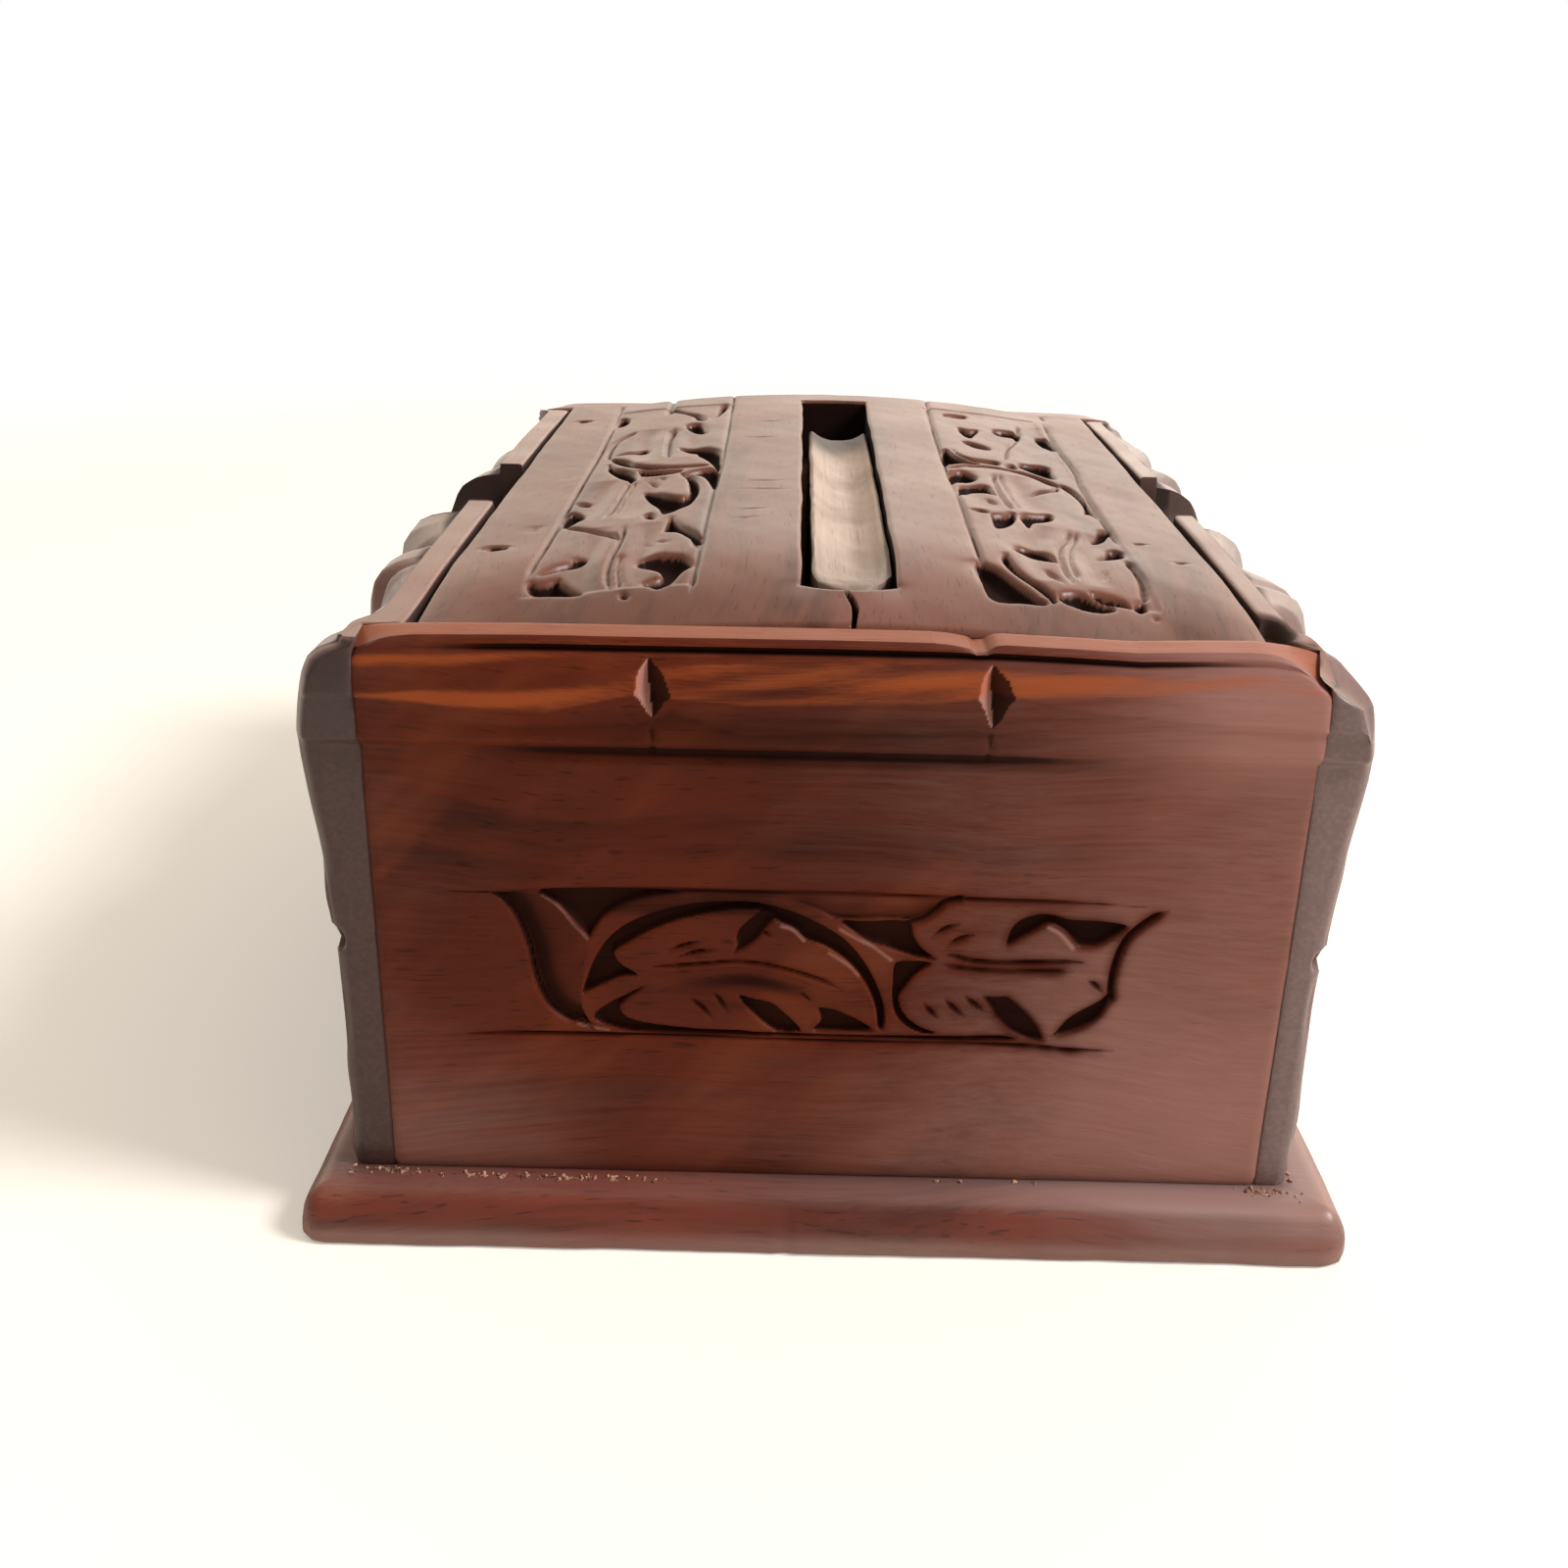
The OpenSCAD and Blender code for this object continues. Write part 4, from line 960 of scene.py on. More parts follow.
def end_grained(material, dark, pale):
    """Gives a side wall's finish its own colours where its end grain shows."""
    b = Bench(material.node_tree)
    wood = next(n for n in b.tree.nodes if n.type == "BSDF_PRINCIPLED")
    into = wood.inputs["Base Color"].links[0]
    colour = Wire(b, into.from_socket)
    place = b.place()
    y = b.part(place, "Y")
    across_y = b.node("ShaderNodeMath", {"operation": "ABSOLUTE"}, {0: y})
    faced = b.node("ShaderNodeSeparateXYZ", {}, {0: b.node("ShaderNodeNewGeometry", out="Normal")}, out="Y")
    turned = b.node("ShaderNodeMath", {"operation": "ABSOLUTE"}, {0: faced})
    dots = b.noise(place, 1900.0, 2.0)
    ends = b.rise(across_y, 0.0636, 0.0650) * b.rise(turned, 0.35, 0.75)
    grained = b.blend(b.rise(dots, 0.35, 0.75) * 0.5, dark, pale)
    z = b.part(place, "Z")
    stains = b.noise(place, 110.0, 3.0)
    grained = b.blend(b.rise(z, 0.050, 0.064) * b.rise(stains, 0.3, 0.6) * 0.75, grained, tint(52, 44, 46))
    b.tree.links.new(b.blend(ends * 0.9, colour, grained).socket, wood.inputs["Base Color"])


# the left wall, on the side away from the light: its notch is darkened more, as painted shade
left_finish = walnut("Left wall walnut", tint(118, 74, 64), tint(94, 58, 50), tint(54, 32, 27),
                     turned=turned_y, gloss=0.38, sheen=0.30, seed=0.57, sheen_and_marks_pale=tint(150, 126, 122))
end_grained(left_finish, tint(62, 42, 41), tint(84, 60, 58))
side_wall("left_board", -1, 50.8, left_reach, (-37, 36), ((1, -1, *left_knock), (1, 1, *left_knock)),
          left_finish, seed=31, sheen_and_pale_marks=0.35, darkening=0.95)

# the right wall, towards the light: its paler, greyer finish, pale end grain and greater paling are painted
# sheen from the light on the right, and its notch is darkened less
right_finish = walnut("Right wall walnut", tint(122, 82, 74), tint(98, 62, 56), tint(58, 36, 32),
                      turned=turned_y, gloss=0.36, sheen=0.34, seed=0.83, sheen_and_marks_pale=tint(152, 134, 132))
end_grained(right_finish, tint(120, 100, 100), tint(146, 124, 122))
corner_knock = ((1.7, 2.9, 6.0, 8, 11, 13, 15), (57.6, 60.9, 62.8, 64.4, 66.0, 67, 90))
side_wall("right_board", 1, 50.0, right_reach, (-38, 37), ((1, -1, *corner_knock), (1, 1, *left_knock)),
          right_finish, seed=47, sheen_and_pale_marks=0.5, darkening=0.5, gouge=(42.6, -57.0, 2.2, 5.0, 3.2))


# ---------------------------------------------------------------------------
# Lifter bar: an upright board of pale bare wood let into the base. Its hollowed
# top carries one stick up to the slot, and years of use have worn it.
bar_front, bar_back, bar_mid = -51.6, 35.0, 1.3
bar_foot, bar_rim, groove_radius = 4.05, 68.2, 4.2


def bare_wood(name, pale, shade, dark, turned=(0, 0, 0), seed=0.0, scuffed=0.5, rough=0.6):
    """Unfinished wood, handled grey and shiny where it is touched."""
    material, b = finish_bench(name)
    place = b.place()
    block = b.node("ShaderNodeMapping", {}, {"Vector": place, "Location": (seed, seed * 0.6, seed * 0.3),
                                             "Rotation": turned, "Scale": (1000, 1000, 1000)})
    drawn = b.stretch(block, (0.035, 0.9, 0.9))
    fibres = b.noise(drawn, 1.0, 4.0, 0.65)
    short = b.stretch(block, (0.14, 3.4, 3.4))
    hairs = b.noise(short, 1.0, 2.0)
    clouds = b.noise(block, 0.085, 3.0)
    colour = b.blend(b.rise(fibres, 0.34, 0.70), pale, shade)
    colour = b.blend(b.rise(clouds, 0.50, 0.76) * scuffed, colour, dark)
    colour = b.blend(b.rise(hairs, 0.60, 0.76) * 0.55, colour, dark)
    # darker by the mesh's hollow mark: dirt, and painted shade where the mark carries it
    hollow = b.mark("hollow")
    colour = b.blend(b.rise(hollow, 0.0, 0.8) * 0.94, colour, tint(52, 36, 30))
    height = fibres * 0.5 + hairs * 0.6 + clouds * 0.4
    relief = b.node("ShaderNodeBump", {}, {"Height": height, "Strength": 0.4, "Distance": 0.00012})
    wood = b.node("ShaderNodeBsdfPrincipled", {},
                  {"Base Color": colour, "Roughness": rough + 0.25 * (clouds - 0.5), "Normal": relief,
                   "IOR": 1.45, "Specular IOR Level": 0.35})
    b.show(wood)
    return material


bar_finish = bare_wood("Worn bar wood", tint(206, 182, 166), tint(190, 165, 150), tint(134, 110, 99),
                       turned=turned_y, seed=0.2, rough=0.5)
tip_end, tail_start = bar_front + 8, bar_back - 3
run = levels((bar_front, tip_end, 0.25), (tip_end, tail_start, 0.8), (tail_start, bar_back, 0.3))
sharp_drop = math.sqrt(groove_radius ** 2 - 3.75 ** 2)
loops, darkening = [], []
for y in run:
    from_front, from_back = y - bar_front, bar_back - y
    tip = ease(11, 0, from_front)
    left = np.interp(from_front, (0, 0.6, 1.5, 3.2, 5.2, 87), (1, -0.9, -2.2, -2.65, -2.85, -3.1))
    right = np.interp(from_front, (0, 0.7, 1.6, 3.4, 5.4, 52, 87), (2.9, 3.3, 3.9, 4.8, 5.5, 5.45, 5.2))
    left, right = left + 0.08 * ripple(y, 21, 4), right + 0.06 * ripple(y, 25, 5)
    x = np.linspace(left, right, 35)
    sunk = np.sqrt(np.maximum(groove_radius ** 2 - (x - bar_mid) ** 2, 0)) - sharp_drop
    sunk = np.maximum(sunk, 0) * (0.93 + 0.05 * ripple(y, 17, 12))
    sunk = sunk * (1 - 0.4 * ease(8, 35, y)) * (1 - 0.85 * tip)
    nose = 0.25 * tip + 0.5 * np.clip(1 - from_front / 1.2, 0, 1) ** 2
    arris = 0.3 * np.exp(-(x - left) / 0.25) + 0.3 * np.exp(-(right - x) / 0.25)
    tail = 0.9 * np.clip(1 - from_back / 5, 0, 1) ** 2
    z = bar_rim - 0.12 - sunk - nose - arris - tail + 0.05 * ripple(x * 2 + y, 9, 2)
    # a flat is split off the right corner at the front
    from_flat = x - np.interp(from_front, (0, 19), (2.2, 5.9))
    flat = bar_rim - 0.2 - 0.3 * from_flat
    # darker towards the front; painted shade on the split-off flat and at the back end, where the slot shades
    # it
    darkening.append(0.34 * ease(-20, -46, y) + 0.12 * (flat < z) + 0.9 * ease(12, 33, y) * np.ones(35))
    z = np.minimum(z, flat)
    top_edge = np.stack([x, np.full(35, y), z], -1)
    side_z = np.array([62.0, 50, 35, 20, 8, bar_foot])
    right_face = np.stack([np.full(6, right), np.full(6, y), side_z], -1)
    left_face = np.stack([np.full(6, left), np.full(6, y), side_z[::-1]], -1)
    loops.append(np.concatenate([top_edge, right_face, left_face]))
    # painted shade on the bar's sides
    darkening[-1] = np.concatenate([darkening[-1], [0.8] * 12])
points, faces = loft(np.array(loops))
darkening = np.array(darkening).ravel()
old_bar = make("grooved_bar", points, faces, bar_finish, {"hollow": darkening}, crease=50)
fit(old_bar, "case", "bare_wood", "lifter_bar")

# ---------------------------------------------------------------------------
# Lid: one domed walnut board with a long slot. Two bands of leaves are chopped
# into it. It is nailed down on the inner box and has begun to split at the slot.
lid_half_x, lid_half_y, lid_crown, lid_under = 41.9, 60.5, 69.3, 60.2
dome_round, end_run = 212.0, 26.0
slot_left, slot_right, slot_end = -4.05, 5.85, 52.8
lid_finish = walnut("Lid walnut", tint(124, 76, 60), tint(108, 64, 50), tint(76, 41, 32), turned=turned_y,
                    gloss=0.42, sheen=0.45, shine=0.12, soil_and_shade=0.94, wear_and_lit=0.4, seed=1.3, pores=0.35)


def left_band(depth, u, v):
    """The leaves on the lid's left."""
    cut, line = tools_for(depth, u, v, 0.45)
    near_rib = [(-24.2, -28), (-24.1, -35), (-24.4, -42), (-24.3, -46), (-23.9, -49), (-23.3, -51.8)]
    middle_rib = [(-26, -2), (-26.3, -8), (-26.5, -14), (-26.8, -20), (-27.3, -24)]
    far_rib = [(-22.8, 33), (-23.1, 26), (-22.8, 18), (-22.2, 10)]
    for rib, offset, width in ((near_rib, -3.0, 1.5), (near_rib, 3.0, 1.5), (middle_rib, -3.0, 1.5),
            (middle_rib, 3.0, 1.5), (far_rib, 3.4, 1.6), (far_rib, -3.2, 1.6)):
        dish(depth, u, v, rib, offset, width, 0.4)
    cut([(-32.5, -46.6), (-32.2, -49), (-31.5, -50.4), (-29.9, -51.2), (-26.2, -52), (-27.7, -49.9),
        (-29, -47.9), (-29.4, -46.8), (-30.6, -47.5), (-31.6, -47.6)], 1.5)
    cut([(-28.6, -39.6), (-27.1, -40.4), (-27.7, -42.3), (-29.5, -44), (-31.8, -45.6), (-31.2, -44),
        (-30.1, -42.5), (-28.9, -41.4)], 1.2)
    cut([(-21.5, -43.6), (-21.1, -42), (-20, -41.6), (-18.4, -41.9), (-16.7, -42.7), (-15.7, -44.5),
        (-15.5, -46), (-16.5, -47.8), (-17.1, -50), (-18, -51.6), (-18.6, -52.2), (-19.7, -51),
        (-20.3, -50), (-19.4, -49.5), (-18.4, -48.7), (-18.7, -47.2), (-20.1, -45.5)], 1.3)
    line(near_rib, 0.9, 0.55, thin=(0.2, 0.3))
    line([(-23.4, -40), (-23.3, -45), (-22.8, -49), (-22.5, -51.5)], 0.8, 0.45)
    cut([(-22.4, -52.1), (-21.7, -52.9), (-21.3, -54), (-22.1, -53.7)], 0.9, 0.3)
    line([(-22.7, -35.3), (-20.8, -37), (-19.5, -39)], 1.0, 0.5, reach=0.4)
    line([(-20.7, -34.9), (-18.2, -38.2)], 0.8, 0.35, reach=0.4)
    line([(-31.6, -26), (-29.3, -28), (-27.1, -30), (-25.5, -31.8), (-24.2, -34.6)], 1.1, 0.6, thin=(0, 0.4))
    cut([(-19.2, -24.4), (-18.7, -27), (-17.7, -30), (-15.9, -33.5), (-14.9, -36), (-15, -38),
        (-16.5, -35.6), (-17.8, -33.2), (-19.4, -32.2), (-19.5, -29)], 1.2)
    line([(-15.9, -35.5), (-15.2, -40)], 0.8, 0.6)
    cut([(-31.8, -18.1), (-32.3, -20.5), (-32.1, -23.5), (-31.5, -26.4), (-30.5, -23.8), (-29.9, -21.2),
        (-30.2, -19.2)], 1.4)
    cut([(-31.9, -13.5), (-30.9, -12.1), (-29.7, -12.5), (-29.8, -14.1), (-31.2, -14.8)], 0.6, 0.6)
    line(middle_rib, 0.9, 0.5, thin=(0.5, 0.2))
    line([(-25.2, -3), (-25.5, -10), (-25.8, -17), (-26.1, -22.5)], 0.8, 0.4)
    cut([(-23.8, -9.3), (-22.9, -13.5), (-21.9, -17.5), (-20.9, -20.5), (-20.1, -24), (-18.5, -21.2),
        (-17.6, -19.4), (-17.1, -16.5), (-16.8, -13), (-16.9, -9), (-17.5, -5), (-18.8, -1.7),
        (-19.9, -0.6), (-18.6, -5), (-18.1, -9), (-17.9, -13), (-18.8, -14.7), (-20.6, -13),
        (-22.1, -10.8)], 1.4, 0.4)
    line([(-24.4, -3.3), (-22.8, -6), (-21.5, -9.2)], 1.1, 0.55, reach=0.4)
    line([(-22.6, -2.4), (-21.1, -4.6)], 0.8, 0.35, reach=0.4)
    cut([(-19.4, -1.2), (-17, -3.2), (-16, -6), (-15.3, -10), (-14.8, -14.5), (-14.7, -8), (-14.8, -2),
        (-15.2, 0.8), (-17.2, 1)], 1.3)
    cut([(-22.6, -24.2), (-21.4, -26.3), (-20.9, -25.2), (-21.9, -22.6)], 0.8, 0.5)
    cut([(-30.3, 13.2), (-28, 11.2), (-26.4, 8), (-23.8, 5.6), (-21, 4.3), (-16.8, 3.6), (-16.9, 2.8),
        (-21, 2.9), (-24.6, 4), (-27.4, 6.6), (-29.3, 10)], 1.1, 0.4)
    cut([(-30.3, 10), (-29.2, 6.5), (-27.2, 4.2), (-25.9, 1), (-25.5, -3.6), (-27.5, -1), (-29.1, 3),
        (-30, 6)], 1.4, 0.4)
    cut([(-25.5, 3.7), (-22, 2), (-19.8, 1.2), (-20.9, -0.7), (-24.5, -1), (-25.3, 1.5)], 1.3)
    line([(-30.6, 12.6), (-31.1, 17), (-31.2, 22), (-30.6, 27), (-28.4, 33)], 0.9, 0.6)
    line(far_rib, 1.6, 0.6)
    cut([(-21.1, 17.6), (-19.4, 17.4), (-17.1, 15.6), (-15.5, 13), (-15.1, 9), (-14.8, 4), (-14.9, -0.6),
        (-15.9, 4), (-16.9, 7.5), (-18, 10), (-18.4, 12.4), (-19.6, 13.9), (-20.9, 15.8)], 1.4)
    cut([(-26, 19.8), (-25.2, 17.4), (-26.5, 16.3), (-28.5, 15.8), (-30.2, 15), (-28, 17.8), (-26.9, 19.5)],
        0.8)
    line([(-20, 25), (-18.8, 21), (-18, 19)], 0.9, 0.4, reach=0.4)
    cut([(-24.9, 51.1), (-22, 46), (-19.9, 42.8), (-18.9, 39.5), (-18.6, 37), (-19.9, 38), (-20.5, 41),
        (-22.2, 44.5), (-24.5, 48.2)], 1.3)
    cut([(-32.3, 46.6), (-31, 45), (-30.9, 41.5), (-32.1, 38), (-32.6, 42)], 1.2)
    cut([(-21.4, 34.5), (-19.4, 35), (-18.3, 30), (-17.7, 26.8), (-19.2, 28.4), (-20.8, 31)], 1.1)
    line([(-16.3, 51.8), (-16.9, 44), (-18, 38)], 1.3, 0.8)
    line([(-25.2, 64.2), (-25.1, 51.9), (-24.9, 44)], 1.2, 0.5)
    line([(-15.1, -54.1), (-14.9, -40), (-14.9, -15), (-14.7, 5), (-14.8, 30), (-15.3, 62.1)], 0.8, 0.55,
        reach=0.03)
    line([(-32.9, -49), (-32.4, -30), (-32.5, -10), (-32.4, 12), (-32.7, 34), (-33.5, 64.4)], 0.8, 0.45,
        reach=0.05)
    line([(-33.2, -23), (-34.9, -25.5), (-34.3, -31)], 0.6, 0.2, reach=0.4)
    line([(-34.5, 11), (-35.2, 6), (-34.6, -2)], 0.6, 0.2, reach=0.4)


def right_band(depth, u, v):
    """The leaves on the lid's right."""
    cut, line = tools_for(depth, u, v, 0.45)
    near_rib = [(27.2, -24.5), (26.4, -29), (25, -33), (24.3, -38), (24.2, -43), (24.4, -46.8)]
    middle_rib = [(21.6, -18), (21, -10), (21, -2), (21.4, 4)]
    far_rib = [(24.2, 13.5), (24.6, 18), (25.5, 24), (27, 29), (28.5, 36), (29.5, 46)]
    for rib, offset, width in ((near_rib, -3.0, 1.5), (near_rib, 3.0, 1.5), (middle_rib, 3.0, 1.5),
            (middle_rib, -3.6, 1.6), (far_rib, 3.0, 1.5)):
        dish(depth, u, v, rib, offset, width, 0.4)
    cut([(14.4, -43.2), (16.6, -44.4), (18.5, -48.6), (20.1, -51.6), (20.9, -53.2), (18.6, -53.3),
        (15.5, -53.4), (14.7, -50.3)], 1.3, 0.5)
    cut([(18.1, -38.6), (17.5, -42), (18.5, -46), (20.1, -49), (21.2, -51.2), (21.4, -53.1), (22.1, -51.5),
        (21.4, -49.2), (19.9, -46.8), (18.7, -43.4)], 1.2, 0.4)
    cut([(22.6, -49.8), (24.6, -49.1), (26.3, -50.1), (27.9, -51.1), (27.7, -52.7), (25.3, -53.4),
        (22.9, -52.4), (22.4, -50.9)], 1.3)
    cut([(25.8, -48.4), (27.4, -48.6), (29.2, -49.3), (29.9, -51.2), (27.9, -50.6), (26.4, -49.8)], 1.2)
    cut([(31.5, -48.4), (31.4, -51.1), (30.3, -52.2), (30.2, -49.9), (30.8, -49.1)], 1.2)
    line([(31.9, -35), (32.4, -42), (31.9, -46.8), (31.4, -49.6)], 0.9, 0.6)
    line([(32, -52.3), (31.9, -54.1)], 0.9, 0.35, reach=0.5)
    line(near_rib, 0.9, 0.5, thin=(0.2, 0.3))
    line([(28.2, -24), (27.3, -28.5), (26.2, -33), (25.4, -38), (25.2, -42), (25.4, -46)], 0.9, 0.5)
    cut([(19.2, -36.6), (19.9, -34.8), (21.5, -34.5), (23.1, -36.4), (23.8, -40.2), (22.4, -39.1),
        (21.2, -37.7), (19.5, -37.2)], 1.3)
    line([(21.5, -41.2), (22.3, -44.5), (23.6, -47.9)], 1.0, 0.5, reach=0.4)
    line([(29, -39), (28.4, -43), (27.4, -46.4)], 0.8, 0.35, reach=0.4)
    cut([(30.7, -31.2), (32.1, -31.3), (32, -33.6), (30.7, -35.2), (28.5, -36.3), (29.8, -33.8)], 1.3)
    cut([(32.7, -20.6), (31.7, -24.5), (30.6, -27.2), (29, -28.4), (30.4, -24.5), (31.1, -22)], 1.2)
    cut([(16.1, -19.2), (17.5, -18.8), (18.4, -21), (18.3, -24.5), (18.5, -28), (20.4, -24.9), (21.4, -21),
        (21.3, -18.4), (20, -19.9), (18.6, -20.5), (17.4, -20.4)], 1.2)
    cut([(22.3, -18.8), (24.5, -17.3), (26, -17), (26, -19.6), (24.6, -21.8), (23, -23.2), (22.4, -27),
        (22, -22.2)], 1.4)
    line(middle_rib, 0.9, 0.5)
    line([(22.6, -17), (22.2, -8), (22, 0), (22.3, 5)], 0.8, 0.4)
    cut([(15.2, -11.6), (15.6, -8), (15.9, -5), (17.5, -3.6), (19.6, -4.1), (20.1, -7), (20.4, -10),
        (19, -8), (17.5, -7.3), (16.6, -9)], 1.2)
    line([(18.6, -10.3), (19.2, -13.5), (20.2, -16.4)], 1.0, 0.5, reach=0.4)
    cut([(24.6, -7.6), (26, -4.3), (28.4, -1.8), (29.6, 1.6), (29.2, -1.9), (27.4, -4)], 1.1)
    cut([(29.8, 2), (31, -3), (31.4, -8), (31.1, -12), (30.2, -15), (31.4, -13.4), (31.9, -16), (31.2, -20),
        (32.3, -15), (32.4, -8), (31.9, -2), (30.8, 2)], 1.2, 0.5)
    cut([(15.1, -4.4), (15, -1), (15.4, 2.2), (17, 3.8), (18.3, 2.6), (18.9, 0.4), (17.9, -1.2),
        (16.3, -2.4)], 1.4)
    cut([(15.8, 4.6), (18, 6.3), (21, 7.2), (24.1, 6.7), (26.7, 4.3), (28.6, 1), (29.8, 1.6), (28.3, 4.8),
        (25.8, 7.4), (22, 8.4), (18, 8), (15.8, 6)], 1.0, 0.5)
    cut([(15.1, 7), (15.2, 13), (15.9, 18), (17.1, 14), (18.7, 11), (20.2, 9.2), (17.5, 9)], 1.3)
    cut([(25.6, 12), (26.4, 14.5), (28.5, 14.8), (30.1, 13.6), (30, 10), (29.9, 5.6), (28, 7), (26.4, 9.5)],
        1.3)
    cut([(23.6, 9.7), (24.7, 12), (25.2, 9.3)], 1.0, 0.3)
    cut([(17.1, 18.6), (17.8, 15), (19.3, 12.9), (22.6, 12.6), (22.7, 10.3), (20, 10.6), (18.2, 12.9),
        (17.2, 15.5)], 1.1, 0.4)
    line(far_rib, 1.0, 0.5)
    cut([(19.1, 24.9), (20.5, 25), (22.4, 22.6), (22.6, 20.6), (20.5, 21.3)], 1.1)
    cut([(18, 38.4), (19.3, 36.4), (19.4, 33), (20.3, 28), (21.2, 31), (22.3, 35.6), (20.5, 35.4)], 1.2)
    cut([(24.9, 38.4), (28.7, 39), (28.2, 34.3), (25.3, 33.2)], 1.1)
    cut([(31.4, 38.6), (33.2, 37.4), (33.5, 30), (32.6, 27), (31.6, 33)], 1.2)
    cut([(18.2, 47.8), (21.4, 48.3), (21.2, 45.2), (18.4, 45)], 1.0)
    line([(15.8, -54), (15.1, -40), (15.3, -15), (15.1, 5), (15.3, 30), (16.2, 62.2)], 0.8, 0.5, reach=0.03)
    line([(32.4, -30), (32.7, -8), (33, 5), (33.6, 14), (33.5, 34), (35.3, 62.7)], 0.9, 0.5, reach=0.06)


leaf_step_x, leaf_step_y = 0.232, 0.31
xs = levels((-lid_half_x, -41.3, 0.2), (-41.3, -33.4, 0.8), (-33.4, -14.2, leaf_step_x),
            (-14.2, slot_left - 0.6, 0.9), (slot_left - 0.6, slot_left, 0.15), (slot_left, 0, 0.5),
            (0, 2.2, 0.11), (2.2, slot_right, 0.5), (slot_right, slot_right + 0.6, 0.15),
            (slot_right + 0.6, 14.4, 0.9), (14.4, 34.2, leaf_step_x), (34.2, 41.3, 0.8),
            (41.3, lid_half_x, 0.2))
ys = levels((-lid_half_y, -60.1, 0.15), (-60.1, -58.6, 0.4), (-58.6, -slot_end, leaf_step_y),
            (-slot_end, slot_end, leaf_step_y), (slot_end, 57, 0.33), (57, 60.1, 0.6),
            (60.1, lid_half_y, 0.15))
grid_x, grid_y = np.meshgrid(xs, ys, indexing="ij")
depth = np.zeros(grid_x.shape)
left_band(depth, grid_x, grid_y)
right_band(depth, grid_x, grid_y)
depth = blurred(depth, 1)
leaf_strip = ease(14.7, 15.3, np.abs(grid_x + 0.1)) * ease(33, 32.4, np.abs(grid_x))
leaf_strip = leaf_strip * ease(52, 51, np.abs(grid_y))
depth = depth + 0.5 * blurred(np.minimum(depth, 1.2), 12) + 0.15 * leaf_strip
carved = depth.copy()

# the split that runs from the slot's front end to the lid's edge
split_line = [(0.55, -52.7), (0.6, -53.8), (0.95, -55), (1.3, -56.6), (1.35, -58), (1.1, -61)]
groove(depth, grid_x, grid_y, split_line, 0.62, 2.6, thin=(0.5, 0.7), reach=0.3)
split = depth > carved + 0.15
# nail holes and knocks
for hole_x, hole_y, wide, deep in ((-38, -35, 2.4, 0.7), (-38, 44, 2.2, 0.6), (38, -35, 1.0, 0.3),
                                   (34.8, -27.5, 0.8, 0.35)):
    spot = np.hypot(grid_x - hole_x, (grid_y - hole_y) * 0.8)
    depth += deep * ease(wide / 2, wide / 5, spot)
for start, end in (((-12.6, -13), (-4.6, -14)), ((-11.8, -9), (-5.2, -8.6)), ((-12, -24.5), (-7.5, -23.8)),
                   ((-13, 20.6), (-6.6, 20)), ((-12.2, -29), (-8.6, -28.2)), ((-11.5, 33), (-6, 33.4)),
                   ((37.9, -33.5), (38.6, -36.5))):
    groove(depth, grid_x, grid_y, [start, end], 1.0, 0.13, reach=0.5)

round_top = (np.sqrt(dome_round ** 2 - grid_x ** 2) - dome_round) * (1 - 0.24 * ease(30, 42, np.abs(grid_x)))
fall_at = np.clip((np.abs(grid_y) - (lid_half_y - end_run)) / end_run, 0, 1)
fall = np.where(grid_y < 0, 3.2, 0.5) * (1 - 0.65 * ease(32, 41, np.abs(grid_x)))
lid_z = lid_crown + round_top - fall * fall_at ** 2.2
eased = np.minimum(lid_half_x - np.abs(grid_x), lid_half_y - np.abs(grid_y))
to_slot = np.hypot(np.clip(np.maximum(slot_left - grid_x, grid_x - slot_right), 0, None),
                   np.clip(np.abs(grid_y) - slot_end, 0, None))
lid_z = lid_z - 0.45 * np.clip(1 - eased / 0.5, 0, 1) ** 2 - 0.28 * np.clip(1 - to_slot / 0.5, 0, 1) ** 2
lid_z = lid_z - depth + 0.06 * dapple(grid_x, grid_y, 23, 15) + 0.03 * dapple(grid_x, grid_y, 7, 16)
proud = blurred(depth, 4) - depth
knocks = (depth - carved > 0.4) * ~split
# darker with the cuts' depth; painted shade in concave places; dark in the split, the nail holes and the
# knocks
dirt_and_shade = 1.1 * ease(0.7, 1.35, carved) + np.clip(-proud * 4, 0, 0.7) + 1.0 * split + 0.8 * knocks
edge_share = np.clip(proud * 2, 0, 0.45) + 0.35 * np.clip(1 - to_slot / 0.8, 0, 1)

# the slot's edges wander a little, as they were sawn by hand, and its front end is worn
at_end = np.exp(-((grid_y + slot_end) / 1.6) ** 2) * np.exp(-np.clip(np.abs(grid_x - 0.9) - 5.0, 0, 9))
grid_y = grid_y + 1.5 * at_end * (np.clip(np.abs(grid_x - 0.9) / 4.95, 0, 1) ** 2 - 0.25)
to_left, to_right = np.exp(-np.abs(grid_x - slot_left) / 1.5), np.exp(-np.abs(grid_x - slot_right) / 1.5)
grid_x = grid_x + 0.12 * ripple(grid_y, 27, 51) * to_left + 0.12 * ripple(grid_y, 31, 52) * to_right
edge_in = np.exp(-(lid_half_x - np.abs(grid_x)) / 1.2) * np.sign(grid_x)
grid_x = grid_x - edge_in * (0.10 + 0.10 * ripple(grid_y, 33, 53))

